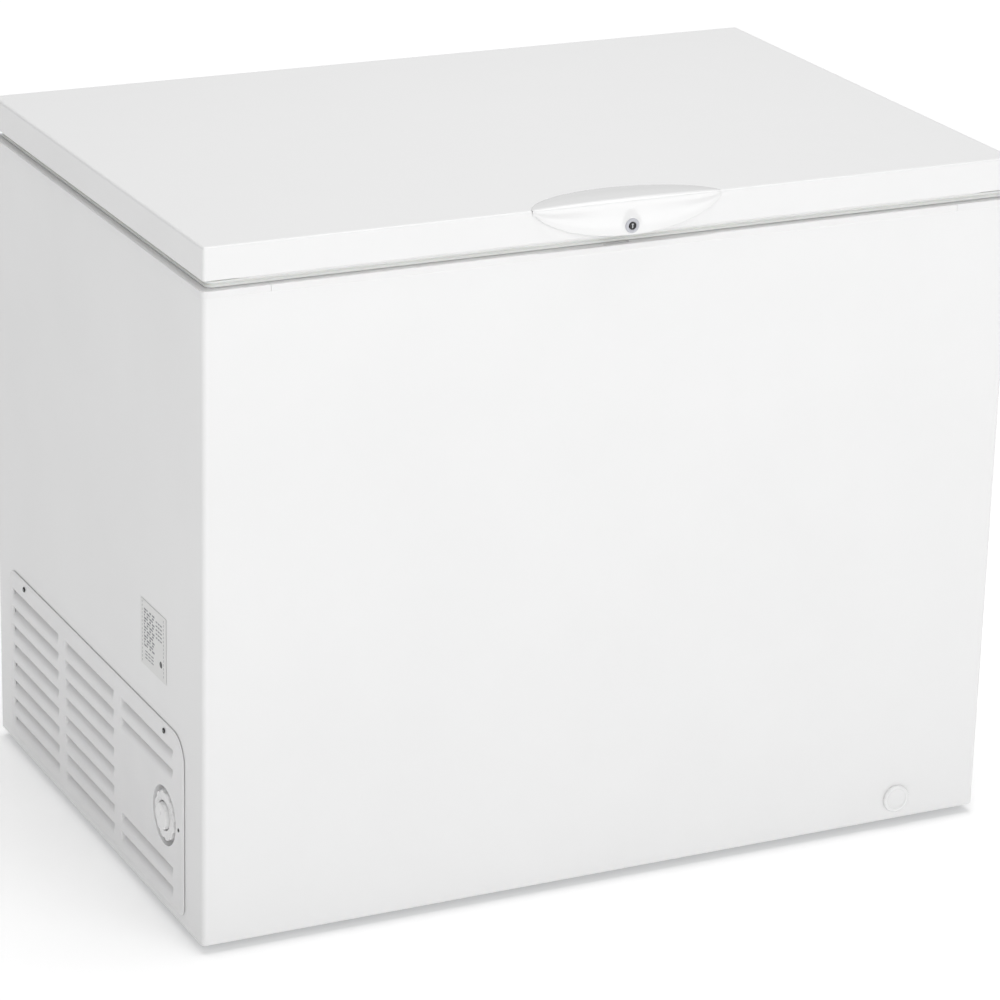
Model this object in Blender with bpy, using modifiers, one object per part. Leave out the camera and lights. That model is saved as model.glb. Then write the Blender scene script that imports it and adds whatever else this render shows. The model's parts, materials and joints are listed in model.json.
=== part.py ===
"""Chest freezer: insulated cabinet on four feet, hinged lid with handle and key lock, vent grille with
thermostat, drain, cooling circuit and hanging basket.

Frame: +X to the right, +Y to the back, +Z up, in metres. Every place below is measured from the middle of
the cabinet's footprint on the floor; the root empty then moves the whole object so that the middle of its
overall footprint is the origin.
"""
import math

import bmesh
import bpy
from mathutils import Matrix, Vector

# ---- driving dimensions, metres ----
CABINET_WIDTH = 1.086
CABINET_DEPTH = 0.725
LID_TOP = 0.889             # height of the lid's top above the floor
SHEET = 0.0008              # steel sheet
GAP = 0.0003                # between pieces that touch
WALL = 0.062                # outer face to the liner's inner face
FLOOR_WALL = 0.066          # cabinet's underside to the liner's floor
LINER_SHEET = 0.001
LINER_RADIUS = 0.025        # vertical corners of the storage space
CORNER_RADIUS = 0.006

FOOT_HEIGHT = 0.012
FOOT_RADIUS = 0.017
FOOT_INSET = 0.070
PAN_FLANGE = 0.012          # base pan's upturned edge
INLET_INSET = 0.073         # cord inlet's centre from the left side
INLET_Z = 0.090
INLET_NECK = 0.008
INLET_BORE = 0.0045
INLET_HEAD = 0.011

LID_SKIN_HEIGHT = 0.040
LID_INSET = 0.001           # lid's edge behind the cabinet's
LID_EDGE_RADIUS = 0.004
SEAL_BAND = 0.0115          # lid skin's lower edge to the rim's top
RIM_HEIGHT = 0.0085
RIM_PROUD = 0.0018
RIM_PLATE = 0.0015
RIM_LIP_DROP = 0.012        # inner lip of the rim, down inside the liner
CORNER_ALONG_X = 0.084      # rim's corner pieces, along the front and back
CORNER_FRONT_Y = 0.060      # and along the sides
CORNER_BACK_Y = 0.108
GASKET_INSET = 0.0068       # gasket's face behind the lid's face
GASKET_WIDTH = 0.016
LID_LINER_SHEET = 0.0025
LID_LINER_INSET = 0.0035
LID_PLUG_DROP = 0.020       # how far the lid liner's middle reaches down
LID_PLUG_CLEARANCE = 0.030

COMPARTMENT_LENGTH = 0.262  # compressor space, from the left outer face
COMPARTMENT_TOP = 0.285
HUMP_WALL = 0.050           # from the compressor space to the liner's step
HUMP_ROOF = 0.055

GRILLE_FRONT_MARGIN = 0.057 # panel's ends, from the cabinet's front and back
GRILLE_BACK_MARGIN = 0.042
GRILLE_BOTTOM = 0.0235
GRILLE_TOP = 0.259
GRILLE_PROUD = 0.0022
GRILLE_COVER = 0.016        # how far the panel laps over the sheet round its opening
GRILLE_FRONT_RADIUS = 0.035 # upper corners
GRILLE_REAR_RADIUS = 0.022
GRILLE_LOW_RADIUS = 0.014   # both lower corners
LOUVRE_FRONT_MARGIN = 0.0425    # louvres' ends, from the panel's ends
LOUVRE_REAR_MARGIN = 0.0215
LOUVRE_GAP = 0.041          # between columns
LOUVRE_HEIGHT = 0.006
LOUVRE_DEPTH = 0.004        # of the slots behind the panel's face
LOUVRE_PITCH = 0.026
LOUVRE_ROWS = 8
LOUVRE_COLUMNS = 3
LOUVRE_TOP_DROP = 0.0285    # top row's middle below the panel's top
SHORT_COLUMN_ROWS = (0, 1, 6, 7)    # rows of the front column that clear the dish
DISH_INSET = 0.0635         # dish's centre from the panel's front end
DISH_DROP = 0.124           # and below its top
DISH_RADIUS = 0.038
DISH_DEPTH = 0.012
DISH_WALL = 0.002
KNOB_ROOM = 0.005           # round the knob, in its dish
KNOB_HUB_RADIUS = 0.017
KNOB_PROUD = 0.005
KNOB_SKIRT = 0.0125
KNOB_FLUTES = 12
KNOB_FLUTE_DEPTH = 0.0015
SHAFT_RADIUS = 0.003
SHAFT_REACH = 0.008         # into the knob
THERMOSTAT_SIZE = (0.030, 0.040, 0.044)
LIGHT_RADIUS = 0.0025
LIGHT_INSET = 0.016         # from the panel's front end
SCREW_SHANK = 0.0016
SCREW_HEAD = 0.0036
GRILLE_SCREW_INSET = 0.062  # from the panel's ends
GRILLE_SCREW_DROP = 0.011   # below its top
LABEL_INSET = 0.1585        # label's centre from the cabinet's front
LABEL_Z = 0.350
LABEL_LENGTH = 0.084
LABEL_HEIGHT = 0.085
LABEL_FILM = 0.0003

HANDLE_LENGTH = 0.252
HANDLE_REACH = 0.060        # back over the lid's top
HANDLE_DROP = 0.0385        # down the lid's front
HANDLE_RAISE = 0.0035
HANDLE_PROUD_TOP = 0.0055
HANDLE_PROUD = 0.013
HANDLE_LIP = 0.003
POCKET_HEIGHT = 0.014
NOTCH_DEPTH = 0.004         # finger notch in the rim below the handle
NOTCH_REACH = 0.0045
LOCK_DROP = 0.027           # lock's centre below the lid's top
BARREL_RADIUS = 0.0047
BEZEL_RADIUS = 0.0092
BEZEL_HEIGHT = 0.0012
CAM_SHEET = 0.0015
CAM_WIDTH = 0.006
CAM_REACH = 0.0328
CAM_HOOK = 0.003
CAM_HOOK_HEIGHT = 0.0042

HINGE_INSET = 0.168         # hinge's middle from the cabinet's side
HINGE_OUT = 0.0155          # pin's axis behind the cabinet's back
HINGE_Z_ABOVE_SKIN = 0.004  # pin's axis above the lid skin's lower edge
HINGE_WIDTH = 0.040
HINGE_SHEET = 0.002
HINGE_DROP = 0.120
HINGE_EAR = 0.0095
HINGE_EAR_DROP = 0.030      # how far the ears reach below the pin
HINGE_LOW_DEPTH = 0.012     # of the bracket below its ears
PIN_RADIUS = 0.004
PIN_END = 0.002             # pin's end outside the bracket
LUG_WIDTH = 0.014
LUG_WALL = 0.0035           # round the pin
SPRING_WIRE = 0.0010        # wire radius
SPRING_TURNS = 5

DRAIN_INSET = 0.119         # from the cabinet's right side
DRAIN_Z = 0.040
DRAIN_TUBE_RADIUS = 0.011
DRAIN_TUBE_WALL = 0.002
DRAIN_BEND = 0.018
DRAIN_INNER_INSET = 0.1225  # liner's drain hole from the cabinet's front
DRAIN_FLANGE = 0.005
PLUG_RADIUS = 0.0185
PLUG_HEIGHT = 0.004
PLUG_NECK = 0.012
PLUG_SLACK = 0.0016

COIL_RADIUS = 0.004
COIL_ROOM = 0.0015          # round a coil, in the foam
COIL_ABOVE_HUMP = 0.035
COIL_BELOW_TOP = 0.050
COIL_TURNS = 5

BASKET_LENGTH = 0.250
BASKET_HEIGHT = 0.200
BASKET_WALL = 0.003
BASKET_RADIUS = 0.010
BASKET_CLEARANCE = 0.006
BASKET_TOP_DROP = 0.022     # below the rim's top
HOOK_REACH = 0.020          # of the basket's hooks over the rim
HOOK_THICKNESS = 0.004

COMPRESSOR_RADIUS = 0.070
COMPRESSOR_HEIGHT = 0.165
COMPRESSOR_INSET = 0.123    # its axis from the cabinet's left side
COMPRESSOR_Y = 0.075
PLATE_SHEET = 0.002
PLATE_LIFT = 0.004          # mount plate above the base pan
PLATE_EDGE = 0.020          # mount plate outside the grommets
PLATE_RAIL = 0.010
GROMMET_HEIGHT = 0.012
GROMMET_RADIUS = 0.010
GROMMET_SPREAD = 0.062
RELAY_SIZE = (0.050, 0.030, 0.060)
RELAY_LIFT = 0.030
LINE_RADIUS = 0.0032        # suction and discharge lines
LINE_SPREAD = 0.014
LINE_END = 0.014            # level run into the seal
LINE_STEPS = 5              # pieces between two points of a line
SEAL_SIZE = (0.006, 0.060, 0.024)
SEAL_DROP = 0.045           # seal's middle below the compartment's top
DRIER_INSET = 0.045         # from the bulkhead
DRIER_AHEAD = 0.16          # in front of the compressor
DRIER_Z = 0.060
DRIER_RADIUS = 0.010
DRIER_HEIGHT = 0.115

# ---- places that follow ----
HALF_W = CABINET_WIDTH / 2
HALF_D = CABINET_DEPTH / 2
SKIN_BOTTOM = LID_TOP - LID_SKIN_HEIGHT
RIM_TOP = SKIN_BOTTOM - SEAL_BAND
BODY_TOP = RIM_TOP - RIM_HEIGHT
LID_HALF_W = HALF_W - LID_INSET
LID_HALF_D = HALF_D - LID_INSET
CAVITY_X = HALF_W - WALL
CAVITY_Y = HALF_D - WALL
CAVITY_FLOOR = FOOT_HEIGHT + FLOOR_WALL
BULKHEAD_X = -HALF_W + COMPARTMENT_LENGTH
STEP_X = BULKHEAD_X + HUMP_WALL
HUMP_TOP = COMPARTMENT_TOP + HUMP_ROOF
COIL_POCKET = 2 * COIL_RADIUS + COIL_ROOM
COIL_LOW = HUMP_TOP + COIL_ABOVE_HUMP
COIL_HIGH = BODY_TOP - COIL_BELOW_TOP
FOAM_X = HALF_W - 2 * (SHEET + GAP)
FOAM_Y = HALF_D - 2 * (SHEET + GAP)
FOAM_BOTTOM = FOOT_HEIGHT + SHEET + GAP
HINGE_X = HALF_W - HINGE_INSET
HINGE_Y = HALF_D + HINGE_OUT
HINGE_Z = SKIN_BOTTOM + HINGE_Z_ABOVE_SKIN
LOCK_Z = LID_TOP - LOCK_DROP
CAM_FRONT = -LID_HALF_D + SHEET + 2 * GAP
CAM_BACK = CAM_FRONT + CAM_SHEET
GRILLE_FACE = -HALF_W - GRILLE_PROUD
GRILLE_BACK = -HALF_W - GAP
GRILLE_FRONT = -HALF_D + GRILLE_FRONT_MARGIN
GRILLE_REAR = HALF_D - GRILLE_BACK_MARGIN
LOUVRE_FRONT = GRILLE_FRONT + LOUVRE_FRONT_MARGIN
LOUVRE_REAR = GRILLE_REAR - LOUVRE_REAR_MARGIN
LOUVRE_LENGTH = (LOUVRE_REAR - LOUVRE_FRONT - LOUVRE_GAP * (LOUVRE_COLUMNS - 1)) / LOUVRE_COLUMNS
DISH_FLOOR = GRILLE_FACE + DISH_DEPTH
DISH_Y = GRILLE_FRONT + DISH_INSET
DISH_Z = GRILLE_TOP - DISH_DROP
KNOB_RADIUS = DISH_RADIUS - KNOB_ROOM
LIGHT_Y = GRILLE_FRONT + LIGHT_INSET
LABEL_Y = -HALF_D + LABEL_INSET
DRAIN_X = HALF_W - DRAIN_INSET
DRAIN_INNER_Y = -HALF_D + DRAIN_INNER_INSET
INLET_X = -HALF_W + INLET_INSET
COMPRESSOR_X = -HALF_W + COMPRESSOR_INSET
LEFT_REACH = HALF_W + GRILLE_PROUD + KNOB_PROUD
RIGHT_REACH = HALF_W + RIM_PROUD
FRONT_REACH = LID_HALF_D + HANDLE_PROUD + GAP + BEZEL_HEIGHT
BACK_REACH = HINGE_Y + HINGE_EAR
LONG = 0.2                  # how far a cutter runs past what it cuts

for old in list(bpy.data.objects):
    bpy.data.objects.remove(old, do_unlink=True)
parts = bpy.data.collections.new("chest_freezer")
cutters = bpy.data.collections.new("cutters")
bpy.context.scene.collection.children.link(parts)
bpy.context.scene.collection.children.link(cutters)


# ---- tools ----
def finish_material(name, colour, roughness, metallic=0.0):
    material = bpy.data.materials.new(name)
    material.use_nodes = True
    shader = material.node_tree.nodes["Principled BSDF"]
    shader.inputs["Base Color"].default_value = (*colour, 1.0)
    shader.inputs["Roughness"].default_value = roughness
    shader.inputs["Metallic"].default_value = metallic
    return material


ENAMEL = finish_material("white_enamel", (0.88, 0.88, 0.87), 0.35)
PLASTIC = finish_material("white_plastic", (0.87, 0.87, 0.86), 0.3)
GREY_PLASTIC = finish_material("grey_plastic", (0.55, 0.56, 0.57), 0.4)
DARK_PLASTIC = finish_material("dark_plastic", (0.03, 0.03, 0.03), 0.45)
VINYL = finish_material("white_vinyl", (0.84, 0.84, 0.83), 0.55)
FOAM = finish_material("foam", (0.83, 0.74, 0.48), 0.9)
LINER = finish_material("liner_enamel", (0.86, 0.87, 0.87), 0.3)
ZINC = finish_material("zinc_plated_steel", (0.62, 0.62, 0.60), 0.4, 1.0)
BLACK_STEEL = finish_material("black_paint", (0.02, 0.02, 0.02), 0.4)
COPPER = finish_material("copper", (0.72, 0.42, 0.29), 0.35, 1.0)
RUBBER = finish_material("rubber", (0.04, 0.04, 0.04), 0.8)
PAPER = finish_material("label_film", (0.82, 0.82, 0.81), 0.5)

root = bpy.data.objects.new("freezer_root", None)
root.location = ((LEFT_REACH - RIGHT_REACH) / 2, (FRONT_REACH - BACK_REACH) / 2, 0)
parts.objects.link(root)


def place(obj, at, parent=root):
    """Puts obj at a place given in the cabinet's frame, under root or under an empty of root's."""
    obj.parent = parent
    obj.location = Vector(at) - (Vector() if parent is root else parent.location)
    return obj


def add_empty(name, at):
    empty = bpy.data.objects.new(name, None)
    parts.objects.link(empty)
    return place(empty, at)


def add_mesh(name, bm, material, at, parent=root, smooth=0):
    mesh = bpy.data.meshes.new(name)
    bm.to_mesh(mesh)
    bm.free()
    if smooth:
        mesh.shade_smooth()
        mesh.set_sharp_from_angle(angle=math.radians(smooth))
    obj = bpy.data.objects.new(name, mesh)
    if material is None:
        cutters.objects.link(obj)
        obj.hide_render = True
        obj.display_type = "WIRE"
    else:
        mesh.materials.append(material)
        parts.objects.link(obj)
    return place(obj, at, parent)


def cube(size):
    bm = bmesh.new()
    bmesh.ops.create_cube(bm, size=1, matrix=Matrix.Diagonal((*size, 1)))
    return bm


def add_box(name, low, high, material, parent=root):
    low, high = Vector(low), Vector(high)
    return add_mesh(name, cube(high - low), material, (low + high) / 2, parent)


def add_round_box(name, low, high, radius, material, parent=root, keep=lambda middle: True, segments=4):
    """A box whose vertical edges that pass keep are rounded."""
    low, high = Vector(low), Vector(high)
    bm = cube(high - low)
    round_edges(bm, 2, radius, segments, keep)
    return add_mesh(name, bm, material, (low + high) / 2, parent)


def turn_to(axis):
    return Vector((0, 0, 1)).rotation_difference(Vector(axis)).to_matrix().to_4x4()


def add_rod(name, start, axis, length, radius, material, parent=root, sides=24):
    """A round bar from start along axis."""
    bm = bmesh.new()
    axis = Vector(axis).normalized()
    bmesh.ops.create_cone(bm, cap_ends=True, segments=sides, radius1=radius, radius2=radius,
                          depth=length, matrix=turn_to(axis))
    return add_mesh(name, bm, material, Vector(start) + axis * length / 2, parent, smooth=35)


def add_turned(name, profile, at, axis, material, parent=root, steps=24):
    """A profile of (radius, height) pairs from the axis, top to bottom, turned about axis through at."""
    bm = bmesh.new()
    points = [bm.verts.new((radius, 0, height)) for radius, height in profile]
    for first, second in zip(points, points[1:]):
        bm.edges.new((first, second))
    obj = add_mesh(name, bm, material, at, parent)
    obj.rotation_mode = "QUATERNION"
    obj.rotation_quaternion = Vector((0, 0, 1)).rotation_difference(Vector(axis))
    screw = obj.modifiers.new("turn", "SCREW")
    screw.steps = steps
    screw.render_steps = steps
    screw.use_merge_vertices = True
    screw.merge_threshold = 0.00001
    return obj


def add_tube(name, points, radius, material, parent=root, resolution=2):
    """A round bar along points, with closed ends."""
    curve = bpy.data.curves.new(name, "CURVE")
    curve.dimensions = "3D"
    curve.bevel_depth = radius
    curve.bevel_resolution = resolution
    curve.use_fill_caps = True
    spline = curve.splines.new("POLY")
    spline.points.add(len(points) - 1)
    middle = sum((Vector(p) for p in points), Vector()) / len(points)
    for slot, point in zip(spline.points, points):
        slot.co = (*(Vector(point) - middle), 1)
    curve.materials.append(material)
    obj = bpy.data.objects.new(name, curve)
    parts.objects.link(obj)
    return place(obj, middle, parent)


def tube_to_mesh(obj, as_cutter=False):
    """Swaps a tube for a mesh with welded caps, so that it can cut or be cut."""
    bpy.context.view_layer.update()
    mesh = bpy.data.meshes.new_from_object(obj.evaluated_get(bpy.context.evaluated_depsgraph_get()))
    bm = bmesh.new()
    bm.from_mesh(mesh)
    bmesh.ops.remove_doubles(bm, verts=bm.verts, dist=0.00001)
    bm.to_mesh(mesh)
    bm.free()
    name, parent, location = obj.name, obj.parent, obj.location.copy()
    bpy.data.objects.remove(obj)
    solid = bpy.data.objects.new(name, mesh)
    (cutters if as_cutter else parts).objects.link(solid)
    solid.parent = parent
    solid.location = location
    if as_cutter:
        solid.hide_render = True
        solid.display_type = "WIRE"
    return solid


def combine(obj, other, operation="DIFFERENCE"):
    boolean = obj.modifiers.new(other.name, "BOOLEAN")
    boolean.operation = operation
    boolean.solver = "EXACT"
    boolean.object = other
    return obj


def cut_box(obj, name, low, high):
    return combine(obj, add_box(name, low, high, None))


def join_box(obj, name, low, high):
    return combine(obj, add_box(name, low, high, None), "UNION")


def cut_rod(obj, name, start, axis, length, radius, sides=24):
    return combine(obj, add_rod(name, start, axis, length, radius, None, sides=sides))


def round_edges(bm, along, radius, segments, keep=lambda middle: True):
    """Rounds the edges that run along one axis and whose middle passes keep."""
    edges = []
    for edge in bm.edges:
        run = (edge.verts[1].co - edge.verts[0].co).normalized()
        if abs(run[along]) > 0.99 and keep((edge.verts[0].co + edge.verts[1].co) / 2):
            edges.append(edge)
    bmesh.ops.bevel(bm, geom=edges, offset=radius, segments=segments, profile=0.5, affect="EDGES")


def drop_faces(bm, *normals):
    doomed = [face for face in bm.faces if any(face.normal.dot(Vector(n)) > 0.99 for n in normals)]
    bmesh.ops.delete(bm, geom=doomed, context="FACES")


def add_sheet(obj, thickness):
    solid = obj.modifiers.new("sheet", "SOLIDIFY")
    solid.thickness = thickness
    solid.offset = -1
    solid.use_even_offset = True
    return obj


# ---- cabinet shell ----
def build_shell():
    height = BODY_TOP - FOOT_HEIGHT
    bm = cube((CABINET_WIDTH, CABINET_DEPTH, height))
    round_edges(bm, 2, CORNER_RADIUS, 4, keep=lambda middle: middle.y < 0)
    drop_faces(bm, (0, 0, 1), (0, 0, -1), (0, 1, 0))
    wrapper = add_sheet(add_mesh("outer_wrapper", bm, ENAMEL, (0, 0, FOOT_HEIGHT + height / 2)), SHEET)
    cut_box(wrapper, "grille_opening",
            (-HALF_W - LONG, GRILLE_FRONT + GRILLE_COVER, GRILLE_BOTTOM + GRILLE_COVER),
            (-HALF_W + LONG, GRILLE_REAR - GRILLE_COVER, GRILLE_TOP - 1.5 * GRILLE_COVER))
    cut_rod(wrapper, "drain_hole", (DRAIN_X, -HALF_D - LONG, DRAIN_Z), (0, 1, 0), 2 * LONG,
            DRAIN_TUBE_RADIUS + GAP)

    side = HALF_W - SHEET - GAP
    panel = add_box("back_panel", (-side, HALF_D - SHEET, FOOT_HEIGHT), (side, HALF_D, BODY_TOP), ENAMEL)
    cut_rod(panel, "inlet_hole", (INLET_X, HALF_D - LONG, INLET_Z), (0, 1, 0), 2 * LONG, INLET_NECK + GAP)

    bm = cube((2 * side, CABINET_DEPTH - 2 * SHEET - 2 * GAP, PAN_FLANGE))
    round_edges(bm, 2, CORNER_RADIUS - SHEET, 4, keep=lambda middle: middle.y < 0)
    drop_faces(bm, (0, 0, 1))
    pan = add_mesh("base_pan", bm, ZINC, (0, 0, FOOT_HEIGHT + PAN_FLANGE / 2))
    add_sheet(pan, SHEET)


def build_inlet():
    bore, head, neck = INLET_BORE, INLET_HEAD, INLET_NECK
    profile = [(bore, 0.006), (head - 0.002, 0.006), (head, 0.004), (head, GAP), (neck, GAP), (neck, -0.006),
               (bore, -0.006), (bore, 0.006)]
    add_turned("cord_inlet_bushing", profile, (INLET_X, HALF_D, INLET_Z), (0, 1, 0), DARK_PLASTIC)


def build_feet():
    for side_x, word_x in ((-1, "left"), (1, "right")):
        for side_y, word_y in ((-1, "front"), (1, "back")):
            profile = [(0, FOOT_HEIGHT - GAP), (FOOT_RADIUS * 0.8, FOOT_HEIGHT - GAP),
                       (FOOT_RADIUS, 0.003), (FOOT_RADIUS - 0.001, 0), (0, 0)]
            at = (side_x * (HALF_W - FOOT_INSET), side_y * (HALF_D - FOOT_INSET), 0)
            add_turned(f"foot_{word_y}_{word_x}", profile, at, (0, 0, 1), DARK_PLASTIC, steps=16)


# ---- insulation and liner ----
def cut_cavity(obj, tag, grow):
    """Cuts the stepped storage space, grown by grow on its walls and floor."""
    x, y, radius = CAVITY_X + grow, CAVITY_Y + grow, LINER_RADIUS + grow
    combine(obj,
            add_round_box(tag + "_well", (STEP_X - grow, -y, CAVITY_FLOOR - grow), (x, y, BODY_TOP + LONG),
                               radius, None, keep=lambda middle: middle.x > 0))
    combine(obj,
            add_round_box(tag + "_over_hump", (-x, -y, HUMP_TOP - grow), (STEP_X + LONG, y, BODY_TOP + LONG),
                               radius, None, keep=lambda middle: middle.x < 0))


def build_insulation():
    bm = cube((2 * FOAM_X, 2 * FOAM_Y, BODY_TOP - GAP - FOAM_BOTTOM))
    round_edges(bm, 2, CORNER_RADIUS - 2 * SHEET, 4, keep=lambda middle: middle.y < 0)
    foam = add_mesh("insulation_foam", bm, FOAM, (0, 0, (BODY_TOP - GAP + FOAM_BOTTOM) / 2))
    cut_cavity(foam, "foam", LINER_SHEET + GAP)
    cut_box(foam, "compressor_space", (-FOAM_X - LONG, -FOAM_Y - LONG, FOAM_BOTTOM - LONG),
            (BULKHEAD_X, FOAM_Y + LONG, COMPARTMENT_TOP))
    low, high = COIL_LOW, COIL_HIGH
    grow = LINER_SHEET + GAP + COIL_POCKET
    cut_box(foam, "evaporator_pocket", (-CAVITY_X - grow, -CAVITY_Y - grow, low),
            (CAVITY_X + grow, CAVITY_Y + grow, high))
    deep_x, deep_y = FOAM_X - COIL_POCKET, FOAM_Y - COIL_POCKET
    for sign, word in ((-1, "left"), (1, "right")):
        ends = sorted((sign * deep_x, sign * (FOAM_X + LONG)))
        cut_box(foam, "condenser_pocket_" + word, (ends[0], -FOAM_Y - LONG, low),
                (ends[1], FOAM_Y + LONG, high))
    for sign, word in ((-1, "front"), (1, "back")):
        ends = sorted((sign * deep_y, sign * (FOAM_Y + LONG)))
        cut_box(foam, "condenser_pocket_" + word, (-FOAM_X - LONG, ends[0], low - SHEET),
                (FOAM_X + LONG, ends[1], high + SHEET))
    channel = tube_to_mesh(add_tube("drain_channel", drain_path(GAP * 4, LONG), DRAIN_TUBE_RADIUS + GAP, FOAM),
                           as_cutter=True)
    combine(foam, channel)

    x, y = CAVITY_X + LINER_SHEET, CAVITY_Y + LINER_SHEET
    liner = add_round_box("inner_liner", (-x, -y, CAVITY_FLOOR - LINER_SHEET), (x, y, BODY_TOP - GAP),
                          LINER_RADIUS + LINER_SHEET, LINER)
    cut_box(liner, "liner_step", (-x - LONG, -y - LONG, CAVITY_FLOOR - LONG),
            (STEP_X - LINER_SHEET, y + LONG, HUMP_TOP - LINER_SHEET))
    cut_cavity(liner, "liner", 0)
    cut_rod(liner, "liner_drain_hole", (DRAIN_X, DRAIN_INNER_Y, CAVITY_FLOOR - LONG / 2), (0, 0, 1), LONG,
            DRAIN_TUBE_RADIUS + GAP)


def coil_path(half_x, half_y, corner, low, high, turns, per_corner=4):
    """Points of a coil that climbs evenly round a rounded rectangle."""
    loop = []
    for quarter, (sx, sy) in enumerate(((1, 1), (-1, 1), (-1, -1), (1, -1))):
        for step in range(per_corner):
            angle = math.radians(90 * quarter + 90 * step / (per_corner - 1))
            loop.append((sx * (half_x - corner) + corner * math.cos(angle),
                         sy * (half_y - corner) + corner * math.sin(angle)))
    total = turns * len(loop)
    rise = (high - low) / (total - 1)
    return [(*loop[i % len(loop)], low + rise * i) for i in range(total)]


def build_coils():
    low, high = COIL_LOW + 2 * COIL_RADIUS, COIL_HIGH - 2 * COIL_RADIUS
    out = LINER_SHEET + GAP + COIL_RADIUS + 2 * GAP
    path = coil_path(CAVITY_X + out, CAVITY_Y + out, LINER_RADIUS + out, low, high, COIL_TURNS)
    add_tube("evaporator_coil", path, COIL_RADIUS, COPPER)
    inset = SHEET + GAP + COIL_RADIUS
    path = coil_path(HALF_W - inset, HALF_D - inset, COIL_RADIUS * 2.5, low, high, COIL_TURNS - 1)
    add_tube("condenser_coil", path, COIL_RADIUS, COPPER)


# ---- rim ----
def add_rim_ring(name):
    """The whole rim as one solid, from which a box keeps one piece."""
    outer_x, outer_y = HALF_W + RIM_PROUD, HALF_D + RIM_PROUD
    height = RIM_HEIGHT + RIM_LIP_DROP
    bm = cube((2 * outer_x, 2 * outer_y, height))
    round_edges(bm, 2, CORNER_RADIUS + RIM_PROUD, 4)
    ring = add_mesh(name, bm, PLASTIC, (0, 0, RIM_TOP - height / 2))
    lip = RIM_PLATE
    mouth_x, mouth_y = CAVITY_X - lip - GAP, CAVITY_Y - lip - GAP
    combine(ring, add_round_box(name + "_mouth", (-mouth_x, -mouth_y, BODY_TOP - LONG),
                                (mouth_x, mouth_y, RIM_TOP + LONG), LINER_RADIUS - lip, None))
    bm = cube((2 * outer_x - 2 * RIM_PLATE, 2 * outer_y - 2 * RIM_PLATE, LONG))
    bmesh.ops.translate(bm, verts=bm.verts, vec=(0, 0, -LONG / 2))
    under = add_mesh(name + "_under", bm, None, (0, 0, RIM_TOP - RIM_PLATE))
    combine(under, add_round_box(name + "_core", (-CAVITY_X + GAP, -CAVITY_Y + GAP, -LONG),
                                 (CAVITY_X - GAP, CAVITY_Y - GAP, RIM_TOP + LONG), LINER_RADIUS - GAP, None))
    combine(ring, under)
    foot_x, foot_y = HALF_W + LONG, HALF_D + LONG
    skirt = add_box(name + "_skirt_end", (-foot_x, -foot_y, RIM_TOP - LONG), (foot_x, foot_y, BODY_TOP), None)
    combine(skirt, add_box(name + "_lip_guard", (-CAVITY_X, -CAVITY_Y, -LONG * 2),
                           (CAVITY_X, CAVITY_Y, RIM_TOP + LONG), None))
    combine(ring, skirt)
    return ring


def keep_box(obj, name, low, high):
    return combine(obj, add_box(name, low, high, None), "INTERSECT")


def build_rim():
    far = HALF_W + LONG
    split_x = HALF_W - CORNER_ALONG_X
    split_front = -HALF_D + CORNER_FRONT_Y
    split_back = HALF_D - CORNER_BACK_Y
    half = GAP / 2
    low_z, high_z = BODY_TOP - LONG / 2, RIM_TOP + LONG / 2
    front = add_rim_ring("rim_front")
    keep_box(front, "rim_front_keep", (-split_x + half, -far, low_z), (split_x - half, 0, high_z))
    back = add_rim_ring("rim_back")
    keep_box(back, "rim_back_keep", (-split_x + half, 0, low_z), (split_x - half, far, high_z))
    for side, word in ((-1, "left"), (1, "right")):
        strip = add_rim_ring("rim_" + word)
        ends = sorted((side * split_x, side * far))
        keep_box(strip, f"rim_{word}_keep", (ends[0], split_front + half, low_z),
                 (ends[1], split_back - half, high_z))
        ends = sorted((side * (split_x + half), side * far))
        corner = add_rim_ring("rim_corner_front_" + word)
        keep_box(corner, f"rim_corner_front_{word}_keep", (ends[0], -far, low_z),
                 (ends[1], split_front - half, high_z))
        corner = add_rim_ring("rim_corner_back_" + word)
        keep_box(corner, f"rim_corner_back_{word}_keep", (ends[0], split_back + half, low_z),
                 (ends[1], far, high_z))
    reach = HANDLE_LENGTH / 2 - NOTCH_DEPTH
    cut_box(front, "finger_notch", (-reach, -HALF_D - LONG / 3, RIM_TOP - NOTCH_DEPTH),
            (reach, -HALF_D - RIM_PROUD + NOTCH_REACH, RIM_TOP + LONG / 3))
    slot_y = CAM_FRONT - GAP
    cut_box(front, "cam_slot_wide", (-CAM_REACH * 0.75, slot_y, BODY_TOP - LONG / 4),
            (-CAM_WIDTH * 0.75, CAM_BACK + CAM_HOOK + GAP, RIM_TOP + LONG / 4))
    cut_box(front, "cam_slot_narrow", (-CAM_WIDTH, slot_y + SHEET / 8, BODY_TOP - LONG / 5),
            (CAM_WIDTH * 0.75, CAM_BACK + GAP, RIM_TOP + LONG / 5))


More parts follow.
